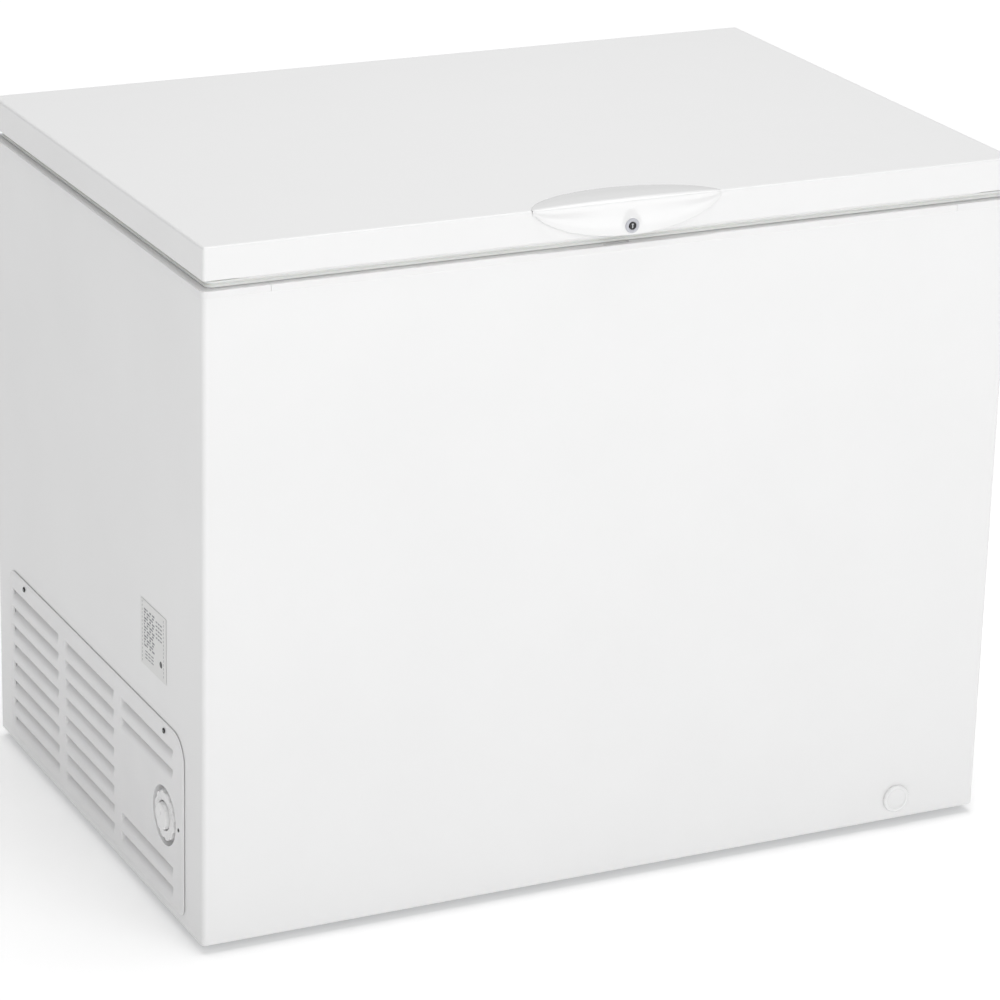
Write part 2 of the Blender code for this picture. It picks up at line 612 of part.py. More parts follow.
# ---- lid ----
def build_lid():
    bm = cube((2 * LID_HALF_W, 2 * LID_HALF_D, LID_SKIN_HEIGHT))
    edges = [e for e in bm.edges if max(v.co.z for v in e.verts) > 0]
    bmesh.ops.bevel(bm, geom=edges, offset=LID_EDGE_RADIUS, segments=3, profile=0.5, affect="EDGES")
    drop_faces(bm, (0, 0, -1))
    skin = add_sheet(add_mesh("lid_skin", bm, ENAMEL, (0, 0, LID_TOP - LID_SKIN_HEIGHT / 2), lid), SHEET)
    cut_rod(skin, "lock_hole", (0, -LID_HALF_D - LONG / 2, LOCK_Z), (0, 1, 0), LONG, BARREL_RADIUS + GAP)

    x, y = LID_HALF_W - SHEET - GAP, LID_HALF_D - SHEET - GAP
    round_off = LID_EDGE_RADIUS + SHEET
    bm = cube((2 * x, 2 * y, LID_TOP - SHEET - GAP - SKIN_BOTTOM))
    edges = [e for e in bm.edges if max(v.co.z for v in e.verts) > 0]
    bmesh.ops.bevel(bm, geom=edges, offset=round_off, segments=2, profile=0.5, affect="EDGES")
    foam = add_mesh("lid_foam", bm, FOAM, (0, 0, (LID_TOP - SHEET - GAP + SKIN_BOTTOM) / 2), lid)
    plug_x, plug_y = CAVITY_X - LID_PLUG_CLEARANCE, CAVITY_Y - LID_PLUG_CLEARANCE
    wall = LID_LINER_SHEET
    liner_top = SKIN_BOTTOM - GAP
    join_box(foam, "lid_foam_plug",
             (-plug_x + wall + GAP, -plug_y + wall + GAP, liner_top - LID_PLUG_DROP + wall),
             (plug_x - wall - GAP, plug_y - wall - GAP, SKIN_BOTTOM + 0.01))
    pocket = (-CAM_REACH - 0.003, -LID_HALF_D - LONG, SKIN_BOTTOM - LONG)
    cut_box(foam, "cam_pocket", pocket, (CAM_WIDTH, CAM_BACK + CAM_HOOK + 0.001, LOCK_Z + 0.008))

    x, y = LID_HALF_W - LID_LINER_INSET, LID_HALF_D - LID_LINER_INSET
    liner = add_box("lid_liner", (-x, -y, liner_top - wall), (x, y, liner_top), PLASTIC, lid)
    join_box(liner, "lid_liner_plug", (-plug_x, -plug_y, liner_top - LID_PLUG_DROP),
             (plug_x, plug_y, liner_top - wall / 2))
    cut_box(liner, "lid_liner_pocket",
            (-plug_x + wall, -plug_y + wall, liner_top - LID_PLUG_DROP + wall - GAP),
            (plug_x - wall, plug_y - wall, liner_top + LONG))
    cut_box(liner, "cam_notch", pocket, (CAM_WIDTH, CAM_BACK + CAM_HOOK + 0.001, LOCK_Z))

    x, y = LID_HALF_W - GASKET_INSET, LID_HALF_D - GASKET_INSET
    low, high = RIM_TOP + GAP, liner_top - wall - GAP
    gasket = add_box("lid_gasket", (-x, -y, low), (x, y, high), VINYL, lid)
    inner_x, inner_y = x - GASKET_WIDTH, y - GASKET_WIDTH
    cut_box(gasket, "gasket_inside", (-inner_x, -inner_y, low - LONG), (inner_x, inner_y, high + LONG))


def handle_section(u):
    """Outline (y, z) of the handle at u, from -1 to 1 along its length, as a closed loop from the back
    edge on the lid's top, along the lid to its front and back over the outside."""
    full = max(1 - u * u, 0.02)
    swell = full ** 0.6
    reach = HANDLE_REACH * swell
    drop = max(HANDLE_DROP * swell, 0.006)
    rise = HANDLE_RAISE * full ** 0.5
    top_out = HANDLE_PROUD_TOP * full ** 0.5
    low_out = HANDLE_PROUD * full ** 0.5
    lip = min(HANDLE_LIP, low_out * 0.3)
    wall = lip * 0.5
    pocket = max(POCKET_HEIGHT * (1 - (u / 0.62) ** 2), 0.0006) if abs(u) < 0.62 else 0.0006
    pocket = min(pocket, drop * 0.5)
    y, z = -LID_HALF_D, LID_TOP
    return [(y + reach, z + GAP), (y - GAP, z + GAP), (y - GAP, z - drop), (y - GAP - wall, z - drop),
            (y - GAP - wall, z - drop + pocket), (y - low_out + lip, z - drop + pocket),
            (y - low_out + lip, z - drop), (y - low_out, z - drop), (y - low_out * 0.9, z - drop * 0.55),
            (y - top_out, z - min(0.004, drop * 0.3)), (y - top_out * 0.6, z + rise * 0.6),
            (y + 0.003, z + rise),
            (y + reach * 0.45, z + rise * 0.9), (y + reach * 0.85, z + GAP + rise * 0.45)]


def build_handle():
    stations = 17
    bm = bmesh.new()
    rings = []
    for i in range(stations):
        u = -math.cos(math.pi * i / (stations - 1))
        ring = [bm.verts.new((u * HANDLE_LENGTH / 2, y - lid.location.y, z - LID_TOP))
                for y, z in handle_section(u)]
        rings.append(ring)
    for first, second in zip(rings, rings[1:]):
        for k in range(len(first)):
            j = (k + 1) % len(first)
            bm.faces.new((first[k], second[k], second[j], first[j]))
    bm.faces.new(rings[0])
    bm.faces.new(list(reversed(rings[-1])))
    bmesh.ops.recalc_face_normals(bm, faces=bm.faces)
    handle = add_mesh("lid_handle", bm, PLASTIC, (0, HINGE_Y, LID_TOP), lid, smooth=40)
    boss = add_rod("lock_boss", (0, -LID_HALF_D - HANDLE_PROUD, LOCK_Z), (0, 1, 0), HANDLE_PROUD - HANDLE_LIP,
                   BEZEL_RADIUS, None)
    combine(handle, boss, "UNION")
    cut_rod(handle, "handle_lock_hole", (0, -LID_HALF_D - LONG, LOCK_Z), (0, 1, 0), 2 * LONG,
            BARREL_RADIUS + GAP)


def build_lock():
    face = -LID_HALF_D - HANDLE_PROUD
    thick = BEZEL_HEIGHT
    ring = [(BARREL_RADIUS + GAP, thick), (BEZEL_RADIUS - 0.0006, thick), (BEZEL_RADIUS, thick - 0.0006),
            (BEZEL_RADIUS, 0), (BARREL_RADIUS + GAP, 0), (BARREL_RADIUS + GAP, thick)]
    add_turned("lock_bezel", ring, (0, face - GAP, LOCK_Z), (0, -1, 0), GREY_PLASTIC, lid)

    barrel_front = face - GAP - thick
    barrel = add_rod("lock_barrel", (0, CAM_FRONT - GAP, LOCK_Z), (0, -1, 0), CAM_FRONT - GAP - barrel_front,
                     BARREL_RADIUS, DARK_PLASTIC, lock)
    cut_box(barrel, "keyway", (-0.0006, barrel_front - LONG, LOCK_Z - 0.0026),
            (0.0006, barrel_front + 0.004, LOCK_Z + 0.0026))
    half = CAM_WIDTH / 2
    cam = add_box("lock_cam", (-CAM_REACH, CAM_FRONT, LOCK_Z - half), (half, CAM_BACK, LOCK_Z + half),
                  ZINC, lock)
    join_box(cam, "cam_hook", (-CAM_REACH, CAM_BACK - CAM_SHEET / 2, LOCK_Z - half),
             (-CAM_REACH + CAM_HOOK_HEIGHT, CAM_BACK + CAM_HOOK, LOCK_Z + half))


# ---- hinges ----
def build_hinge(side, word):
    mid = side * HINGE_X
    half = HINGE_WIDTH / 2
    back = HALF_D + GAP
    out = BACK_REACH
    base = add_box("hinge_base_" + word, (mid - half, back, HINGE_Z - HINGE_DROP),
                   (mid + half, out, HINGE_Z + HINGE_EAR), ZINC)
    inner = half - HINGE_SHEET
    cut_box(base, f"hinge_{word}_channel", (mid - inner, back + HINGE_SHEET, HINGE_Z - LONG),
            (mid + inner, out + LONG, HINGE_Z + LONG))
    cut_box(base, f"hinge_{word}_head_room", (mid - inner, back - LONG, BODY_TOP),
            (mid + inner, out + LONG / 2, HINGE_Z + LONG / 2))
    rim_clear = HALF_D + RIM_PROUD + GAP
    cut_box(base, f"hinge_{word}_rim_room", (mid - LONG, back - LONG / 2, BODY_TOP - GAP),
            (mid + LONG, rim_clear, HINGE_Z + LONG / 3))
    cut_box(base, f"hinge_{word}_taper", (mid - LONG, back + HINGE_LOW_DEPTH, HINGE_Z - LONG),
            (mid + LONG, out + LONG / 3, HINGE_Z - HINGE_EAR - HINGE_EAR_DROP))
    cut_rod(base, f"hinge_{word}_bore", (mid - LONG / 2, HINGE_Y, HINGE_Z), (1, 0, 0), LONG, PIN_RADIUS + GAP)

    add_rod("hinge_pin_" + word, (mid - half - PIN_END, HINGE_Y, HINGE_Z), (1, 0, 0),
            HINGE_WIDTH + 2 * PIN_END, PIN_RADIUS, ZINC)

    lug_low = mid - inner + 2 * GAP
    eye_radius = PIN_RADIUS + LUG_WALL
    arm_back = LID_HALF_D + GAP
    arm = add_box("hinge_arm_" + word, (lug_low, arm_back, HINGE_Z),
                  (mid + inner - 2 * GAP, arm_back + HINGE_SHEET, LID_TOP - 1.5 * LID_EDGE_RADIUS), ZINC, lid)
    join_box(arm, f"hinge_{word}_lug", (lug_low, arm_back + HINGE_SHEET / 2, HINGE_Z - 0.0005),
             (lug_low + LUG_WIDTH, HINGE_Y, HINGE_Z + eye_radius))
    eye = add_rod(f"hinge_{word}_eye", (lug_low, HINGE_Y, HINGE_Z), (1, 0, 0), LUG_WIDTH, eye_radius, None)
    combine(arm, eye, "UNION")
    cut_rod(arm, f"hinge_{word}_lug_bore", (mid - LONG / 2, HINGE_Y, HINGE_Z), (1, 0, 0), LONG,
            PIN_RADIUS + GAP)

    length = 2 * inner - LUG_WIDTH - 6 * GAP - 4 * SPRING_WIRE
    start = lug_low + LUG_WIDTH + 2 * GAP + SPRING_WIRE
    radius = PIN_RADIUS + GAP + SPRING_WIRE + 0.0006
    steps = 10
    count = SPRING_TURNS * steps
    points = []
    for i in range(count + 1):
        turn = 2 * math.pi * i / steps
        points.append((start + length * i / count, HINGE_Y + radius * math.cos(turn),
                       HINGE_Z + radius * math.sin(turn)))
    add_tube("hinge_spring_" + word, points, SPRING_WIRE, ZINC, resolution=1)


# ---- grille, thermostat ----
def build_grille():
    length = GRILLE_REAR - GRILLE_FRONT
    height = GRILLE_TOP - GRILLE_BOTTOM
    thick = GRILLE_BACK - GRILLE_FACE
    bm = cube((thick, length, height))
    round_edges(bm, 0, GRILLE_FRONT_RADIUS, 5, keep=lambda m: m.y < 0 and m.z > 0)
    round_edges(bm, 0, GRILLE_REAR_RADIUS, 4, keep=lambda m: m.z > 0 and m.y > length * 0.45)
    round_edges(bm, 0, GRILLE_LOW_RADIUS, 3, keep=lambda m: m.z < -height * 0.45)
    middle = ((GRILLE_FACE + GRILLE_BACK) / 2, (GRILLE_FRONT + GRILLE_REAR) / 2,
              (GRILLE_TOP + GRILLE_BOTTOM) / 2)
    grille = add_mesh("vent_grille", bm, PLASTIC, middle)
    cup_back = DISH_FLOOR + DISH_WALL
    combine(grille, add_rod("dish_cup", (GRILLE_FACE + thick / 2, DISH_Y, DISH_Z), (1, 0, 0),
                            cup_back - GRILLE_FACE - thick / 2, DISH_RADIUS + DISH_WALL, None, sides=32),
                            "UNION")
    cut_rod(grille, "dish_hollow", (DISH_FLOOR - LONG, DISH_Y, DISH_Z), (1, 0, 0), LONG, DISH_RADIUS, 32)
    cut_rod(grille, "shaft_hole", (DISH_FLOOR - LONG / 2, DISH_Y, DISH_Z), (1, 0, 0), LONG,
            SHAFT_RADIUS + GAP, 12)
    bm = bmesh.new()
    for column in range(LOUVRE_COLUMNS):
        y = LOUVRE_FRONT + LOUVRE_LENGTH / 2 + column * (LOUVRE_LENGTH + LOUVRE_GAP)
        for row in (range(LOUVRE_ROWS) if column else SHORT_COLUMN_ROWS):
            z = GRILLE_TOP - LOUVRE_TOP_DROP - LOUVRE_PITCH * row
            size = (LONG, LOUVRE_LENGTH, LOUVRE_HEIGHT, 1)
            bmesh.ops.create_cube(bm, size=1, matrix=Matrix.Translation((0, y, z)) @ Matrix.Diagonal(size))
    slots = add_mesh("louvre_slots", bm, None, (GRILLE_FACE - LONG / 2 + LOUVRE_DEPTH, 0, 0))
    combine(grille, slots)
    cut_rod(grille, "light_hole", (GRILLE_FACE - LONG, LIGHT_Y, DISH_Z), (1, 0, 0), 2 * LONG,
            LIGHT_RADIUS + GAP, 12)
    shank, head = SCREW_SHANK, SCREW_HEAD
    screw_z = GRILLE_TOP - GRILLE_SCREW_DROP
    for y, word in ((GRILLE_FRONT + GRILLE_SCREW_INSET, "front"), (GRILLE_REAR - GRILLE_SCREW_INSET, "rear")):
        at = (GRILLE_FACE, y, screw_z)
        cut_rod(grille, f"screw_hole_{word}", (GRILLE_FACE - LONG, y, screw_z), (1, 0, 0), 2 * LONG,
                shank + GAP, 12)
        profile = [(0, 0.002), (head * 0.7, 0.0018), (head, 0.0008), (head, GAP), (shank, GAP),
                   (shank, -0.0016), (0, -0.0016)]
        add_turned(f"grille_screw_{word}", profile, at, (-1, 0, 0), BLACK_STEEL, steps=12)
    add_rod("power_light", (GRILLE_FACE - 0.0008, LIGHT_Y, DISH_Z), (1, 0, 0), 0.0024, LIGHT_RADIUS,
            DARK_PLASTIC, sides=16)

    deep, wide, tall = THERMOSTAT_SIZE
    body = add_box("thermostat_body", (cup_back + GAP, DISH_Y - wide / 2, DISH_Z - tall / 2),
                   (cup_back + GAP + deep, DISH_Y + wide / 2, DISH_Z + tall / 2), ZINC)
    shaft_start = DISH_FLOOR - SHAFT_REACH
    combine(body, add_rod("thermostat_shaft", (shaft_start, DISH_Y, DISH_Z), (1, 0, 0),
                          cup_back + 0.004 - shaft_start, SHAFT_RADIUS, None, sides=16), "UNION")

    label_face = -HALF_W - GAP
    add_box("rating_label", (label_face - LABEL_FILM, LABEL_Y - LABEL_LENGTH / 2, LABEL_Z - LABEL_HEIGHT / 2),
            (label_face, LABEL_Y + LABEL_LENGTH / 2, LABEL_Z + LABEL_HEIGHT / 2), PAPER)


def build_knob():
    """A fluted skirt with a round hub."""
    back = DISH_FLOOR - GAP
    face = GRILLE_FACE - KNOB_PROUD
    around = KNOB_FLUTES * 4
    bm = bmesh.new()
    ring = []
    for i in range(around):
        angle = 2 * math.pi * i / around
        radius = KNOB_RADIUS - KNOB_FLUTE_DEPTH * (1 + math.cos(KNOB_FLUTES * angle)) / 2
        ring.append(bm.verts.new((0, radius * math.cos(angle), radius * math.sin(angle))))
    base = bm.faces.new(ring)
    raised = bmesh.ops.extrude_face_region(bm, geom=[base])["geom"]
    moved = [item for item in raised if isinstance(item, bmesh.types.BMVert)]
    bmesh.ops.translate(bm, verts=moved, vec=(-KNOB_SKIRT, 0, 0))
    bmesh.ops.recalc_face_normals(bm, faces=bm.faces)
    knob_obj = add_mesh("thermostat_knob", bm, PLASTIC, (back, DISH_Y, DISH_Z), knob)
    hub = add_rod("knob_hub", (back - KNOB_SKIRT / 2, DISH_Y, DISH_Z), (-1, 0, 0),
                  back - KNOB_SKIRT / 2 - face, KNOB_HUB_RADIUS, None, sides=32)
    combine(knob_obj, hub, "UNION")
    cut_rod(knob_obj, "knob_bore", (back + LONG, DISH_Y, DISH_Z), (-1, 0, 0), LONG + SHAFT_REACH + GAP,
            SHAFT_RADIUS + GAP, 16)


# ---- drain ----
def drain_path(below=0.0, ahead=0.0):
    """From the liner's floor down and forward to the front sheet, with a round bend."""
    start = CAVITY_FLOOR - LINER_SHEET - GAP
    points = [(DRAIN_X, DRAIN_INNER_Y, start + below)]
    for step in range(5):
        angle = math.radians(90 * step / 4)
        points.append((DRAIN_X, DRAIN_INNER_Y - DRAIN_BEND + DRAIN_BEND * math.cos(angle),
                       DRAIN_Z + DRAIN_BEND - DRAIN_BEND * math.sin(angle)))
    points.append((DRAIN_X, -HALF_D - ahead, DRAIN_Z))
    return points


def build_drain():
    pipe = tube_to_mesh(add_tube("drain_tube", drain_path(), DRAIN_TUBE_RADIUS, PLASTIC))
    bore = DRAIN_TUBE_RADIUS - DRAIN_TUBE_WALL
    path = drain_path(0.01, 0.01)
    combine(pipe, tube_to_mesh(add_tube("drain_bore", path, bore, PLASTIC), as_cutter=True))
    neck = bore - PLUG_SLACK
    profile = [(0, PLUG_HEIGHT), (PLUG_RADIUS - 0.0015, PLUG_HEIGHT), (PLUG_RADIUS, PLUG_HEIGHT - 0.0015),
               (PLUG_RADIUS, GAP), (neck, GAP), (neck - 0.0004, -PLUG_NECK), (0, -PLUG_NECK)]
    add_turned("drain_plug", profile, (DRAIN_X, -HALF_D, DRAIN_Z), (0, -1, 0), PLASTIC, drain_out)
    flange = DRAIN_TUBE_RADIUS + DRAIN_FLANGE
    profile = [(0, 0.005), (flange - 0.001, 0.005), (flange, 0.004), (flange, GAP), (neck, GAP),
               (neck - 0.0004, -0.010), (0, -0.010)]
    add_turned("inner_drain_plug", profile, (DRAIN_X, DRAIN_INNER_Y, CAVITY_FLOOR), (0, 0, 1), RUBBER,
               drain_in)


# ---- cooling machinery ----
def build_machinery():
    pan_top = FOOT_HEIGHT + SHEET
    plate_low = pan_top + PLATE_LIFT
    plate_high = plate_low + PLATE_SHEET
    cx, cy = COMPRESSOR_X, COMPRESSOR_Y
    reach = GROMMET_SPREAD + PLATE_EDGE
    end = reach + PLATE_RAIL
    plate = add_box("compressor_plate", (cx - reach, cy - end, plate_low),
                    (cx + reach, cy + end, plate_high), ZINC)
    join_box(plate, "plate_rail_front", (cx - reach, cy - end, pan_top + GAP),
             (cx + reach, cy - reach, plate_low + PLATE_SHEET / 2))
    join_box(plate, "plate_rail_rear", (cx - reach, cy + reach, pan_top + GAP),
             (cx + reach, cy + end, plate_low + PLATE_SHEET / 2))
    for sx, word_x in ((-1, "left"), (1, "right")):
        for sy, word_y in ((-1, "front"), (1, "rear")):
            radius, height = GROMMET_RADIUS, GROMMET_HEIGHT
            profile = [(0, height), (radius * 0.8, height), (radius, height / 2), (radius * 0.8, 0), (0, 0)]
            at = (cx + sx * GROMMET_SPREAD, cy + sy * GROMMET_SPREAD, plate_high + GAP)
            add_turned(f"grommet_{word_y}_{word_x}", profile, at, (0, 0, 1), RUBBER, steps=12)

    base = plate_high + GROMMET_HEIGHT + GAP * 2
    r, h = COMPRESSOR_RADIUS, COMPRESSOR_HEIGHT
    weld = r * 1.04             # the can's seam stands out round its middle
    profile = [(0, h), (r * 0.45, h * 0.985), (r * 0.8, h * 0.93), (r * 0.96, h * 0.83), (r, h * 0.7),
               (r, h * 0.48),
               (weld, h * 0.47), (weld, h * 0.45), (r * 0.99, h * 0.44), (r * 0.97, h * 0.18),
               (r * 0.8, h * 0.05), (r * 0.5, 0), (0, 0)]
    can = add_turned("compressor", profile, (cx, cy, base), (0, 0, 1), BLACK_STEEL, steps=20)
    foot = GROMMET_SPREAD + GROMMET_RADIUS + 0.002
    join_box(can, "compressor_feet", (cx - foot, cy - foot, base), (cx + foot, cy + foot, base + 0.004))
    wide, deep, tall = RELAY_SIZE
    relay_back = cy - weld - 2 * GAP
    add_box("relay_cover", (cx - wide / 2, relay_back - deep, base + RELAY_LIFT),
            (cx + wide / 2, relay_back, base + RELAY_LIFT + tall), DARK_PLASTIC)

    wall, roof = BULKHEAD_X - GAP, COMPARTMENT_TOP - GAP
    bulkhead = add_box("compartment_bulkhead", (wall - SHEET, -FOAM_Y, FOAM_BOTTOM),
                       (wall, FOAM_Y, roof), ZINC)
    join_box(bulkhead, "bulkhead_roof", (-FOAM_X, -FOAM_Y + CORNER_RADIUS, roof - SHEET),
             (wall - SHEET / 2, FOAM_Y - CORNER_RADIUS, roof))
    thick, wide, tall = SEAL_SIZE
    face = wall - SHEET - GAP
    seal_z = COMPARTMENT_TOP - SEAL_DROP
    add_box("line_seal", (face - thick, cy - wide / 2, seal_z - tall / 2),
            (face, cy + wide / 2, seal_z + tall / 2), RUBBER)
    line_end = face - thick - GAP
    for name, side, height, angle in (("suction_line", 1, 0.62, 35), ("discharge_line", -1, 0.30, -35)):
        y = cy + side * LINE_SPREAD
        across, along = math.cos(math.radians(angle)), math.sin(math.radians(angle))
        out = r + LINE_RADIUS + 2 * GAP
        start_z = base + h * height
        start = Vector((cx + across * out, cy + along * out, start_z))
        bend = Vector((cx + across * (out + 0.018), cy + along * (out + 0.012), start_z + 0.012))
        rise = Vector((bend.x + 0.004, y, seal_z - 0.016))
        level = Vector((line_end - LINE_END, y, seal_z))
        end = Vector((line_end, y, seal_z))
        path = smooth_path([start, bend, rise, level, end], LINE_STEPS)
        del path[-LINE_STEPS:-1]     # the last run, into the seal, is straight
        add_tube(name, path, LINE_RADIUS, COPPER)
    r, h, pipe = DRIER_RADIUS, DRIER_HEIGHT, 0.003
    profile = [(0, h), (pipe, h), (pipe + 0.001, h - r), (r, h - 2 * r), (r, 0.018),
               (pipe + 0.001, 0.008), (pipe, 0), (0, 0)]
    add_turned("filter_drier", profile, (BULKHEAD_X - DRIER_INSET, cy - DRIER_AHEAD, DRIER_Z), (0, 0, 1),
               COPPER, steps=16)


def smooth_path(points, per_span):
    """A Catmull-Rom curve through the points."""
    padded = [points[0] * 2 - points[1]] + points + [points[-1] * 2 - points[-2]]
    result = []
    for a, b, c, d in zip(padded, padded[1:], padded[2:], padded[3:]):
        for step in range(per_span):
            t = step / per_span
            result.append(((2 * b) + (c - a) * t + (2 * a - 5 * b + 4 * c - d) * t ** 2
                           + (3 * b - a - 3 * c + d) * t ** 3) / 2)
    result.append(points[-1])
    return result


# ---- basket ----
def build_basket():
    top = RIM_TOP - BASKET_TOP_DROP
    low = top - BASKET_HEIGHT
    inner = CAVITY_Y - RIM_PLATE - GAP
    half_y = inner - BASKET_CLEARANCE
    left = -CAVITY_X + BASKET_CLEARANCE
    right = left + BASKET_LENGTH
    tray = add_round_box("wire_basket", (left, -half_y, low), (right, half_y, top), BASKET_RADIUS,
                         ENAMEL, basket, segments=3)
    wall = BASKET_WALL
    combine(tray, add_round_box("basket_inside", (left + wall, -half_y + wall, low + wall),
                                (right - wall, half_y - wall, top + LONG), BASKET_RADIUS - wall, None,
                                segments=3))
    hook_low, hook_high = RIM_TOP + GAP, RIM_TOP + GAP + HOOK_THICKNESS
    for sign, word in ((-1, "front"), (1, "back")):
        ends = sorted((sign * (half_y - wall), sign * half_y))
        join_box(tray, f"basket_riser_{word}", (left + BASKET_LENGTH / 4, ends[0], top - wall),
                 (right - BASKET_LENGTH / 4, ends[1], hook_high))
        ends = sorted((sign * (half_y - wall), sign * (CAVITY_Y + HOOK_REACH)))
        join_box(tray, f"basket_hook_{word}", (left + BASKET_LENGTH / 4, ends[0], hook_low),
                 (right - BASKET_LENGTH / 4, ends[1], hook_high))


lid = add_empty("lid_axis", (0, HINGE_Y, HINGE_Z))
knob = add_empty("knob_axis", (DISH_FLOOR, DISH_Y, DISH_Z))
lock = add_empty("lock_axis", (0, -LID_HALF_D, LOCK_Z))
drain_out = add_empty("drain_plug_axis", (DRAIN_X, -HALF_D, DRAIN_Z))
drain_in = add_empty("inner_plug_axis", (DRAIN_X, DRAIN_INNER_Y, CAVITY_FLOOR))
basket = add_empty("basket_slide_axis", (-CAVITY_X, 0, RIM_TOP))

build_shell()
build_inlet()
build_feet()
build_insulation()
build_coils()
build_rim()
build_lid()
build_handle()
build_lock()
build_hinge(-1, "left")
build_hinge(1, "right")
build_grille()
build_knob()
build_drain()
build_machinery()
build_basket()
print("chest freezer:", len([o for o in parts.objects if o.type != "EMPTY"]), "pieces")
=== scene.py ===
import json
import math

import bmesh
import bpy
import numpy as np
from mathutils import Matrix, Vector


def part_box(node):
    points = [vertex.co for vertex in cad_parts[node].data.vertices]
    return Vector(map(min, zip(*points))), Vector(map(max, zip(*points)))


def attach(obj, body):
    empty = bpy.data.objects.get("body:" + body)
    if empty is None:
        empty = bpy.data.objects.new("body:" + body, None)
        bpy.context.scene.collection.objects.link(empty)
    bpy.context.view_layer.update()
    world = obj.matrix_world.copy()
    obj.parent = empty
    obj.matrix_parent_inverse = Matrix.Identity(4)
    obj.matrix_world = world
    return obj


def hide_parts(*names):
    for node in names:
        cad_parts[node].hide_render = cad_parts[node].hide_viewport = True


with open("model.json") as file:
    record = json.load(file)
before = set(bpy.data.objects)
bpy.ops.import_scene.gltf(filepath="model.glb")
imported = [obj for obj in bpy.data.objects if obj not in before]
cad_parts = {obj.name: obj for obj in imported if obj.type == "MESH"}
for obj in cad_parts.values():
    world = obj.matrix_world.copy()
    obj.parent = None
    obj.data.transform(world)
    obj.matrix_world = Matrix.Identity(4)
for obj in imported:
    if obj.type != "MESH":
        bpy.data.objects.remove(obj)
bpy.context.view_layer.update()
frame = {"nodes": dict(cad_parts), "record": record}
print("frame:", len(frame["nodes"]), "nodes")

mm = 0.001


# small tools
def span(node):
    # a CAD node's lowest and highest corners
    low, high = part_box(node)
    return np.array(low), np.array(high)


def toLinear(hexColour):
    # sRGB to linear: a straight part near black, a 2.4 power above it
    parts = [int(hexColour[i:i + 2], 16) / 255 for i in (1, 3, 5)]
    return (*[p / 12.92 if p <= 0.04045 else ((p + 0.055) / 1.055) ** 2.4 for p in parts], 1.0)


def smoothStep(t):
    # 0 to 1 with level ends: three t squared less two t cubed
    t = np.clip(t, 0, 1)
    return t * t * (3 - 2 * t)


def softened(outline, radius, closed=True, steps=6):
    # each corner becomes a quadratic curve between points that lie radius before and after it
    outline = np.asarray(outline, float)
    radius = np.broadcast_to(radius, outline.shape[:-1])[..., None]
    back = np.roll(outline, 1, -2) - outline
    ahead = np.roll(outline, -1, -2) - outline
    backLength = np.linalg.norm(back, axis=-1, keepdims=True) + 1e-12
    aheadLength = np.linalg.norm(ahead, axis=-1, keepdims=True) + 1e-12
    if not closed:
        radius = np.concatenate([radius[..., :1, :] * 0, radius[..., 1:-1, :], radius[..., -1:, :] * 0], -2)
    cut = np.minimum(radius, 0.49 * np.minimum(backLength, aheadLength))
    start = (outline + back / backLength * cut)[..., None, :]
    end = (outline + ahead / aheadLength * cut)[..., None, :]
    t = np.linspace(0, 1, steps)[:, None]
    curve = (1 - t) ** 2 * start + 2 * t * (1 - t) * outline[..., None, :] + t * t * end
    return curve.reshape(*outline.shape[:-2], -1, outline.shape[-1])


def roundedRect(halfX, halfY, radius, perCorner=9):
    # four quarter circles, anticlockwise from +x; returns the points and the outward normals
    angle = np.linspace(0, math.pi / 2, perCorner)
    angle = np.concatenate([angle + quarter * math.pi / 2 for quarter in range(4)])
    signX = np.repeat([1, -1, -1, 1], perCorner)
    signY = np.repeat([1, 1, -1, -1], perCorner)
    normal = np.stack([np.cos(angle), np.sin(angle)], -1)
    middle = np.stack([signX * (halfX - radius), signY * (halfY - radius)], -1)
    return middle + radius * normal, normal


def gridPatch(points, wrapRows=False, wrapColumns=False, caps=False, keep=None):
    # quads between neighbours of a grid of points, which may close on itself either way
    rows, columns = points.shape[:2]
    index = np.arange(rows * columns).reshape(rows, columns)
    ends = [index[0].tolist(), index[-1][::-1].tolist()] if caps else []
    if wrapRows:
        index = np.vstack([index, index[:1]])
    if wrapColumns:
        index = np.hstack([index, index[:, :1]])
    quads = np.stack([index[:-1, :-1], index[1:, :-1], index[1:, 1:], index[:-1, 1:]], -1).reshape(-1, 4)
    if keep is not None:
        quads = quads[keep.ravel()]
    return points.reshape(-1, 3), quads, ends


def cappedRings(points):
    # rings of points joined one to the next, with a flat cap at each end
    return gridPatch(points, wrapColumns=True, caps=True)


def newObject(name, mesh):
    # an object round a mesh, at the origin
    piece = bpy.data.objects.new(name, mesh)
    bpy.context.scene.collection.objects.link(piece)
    return piece


def shadeEdges(mesh, sharp):
    # smooth shading that stops where faces meet at more than sharp degrees
    mesh.shade_smooth()
    mesh.set_sharp_from_angle(angle=math.radians(sharp))


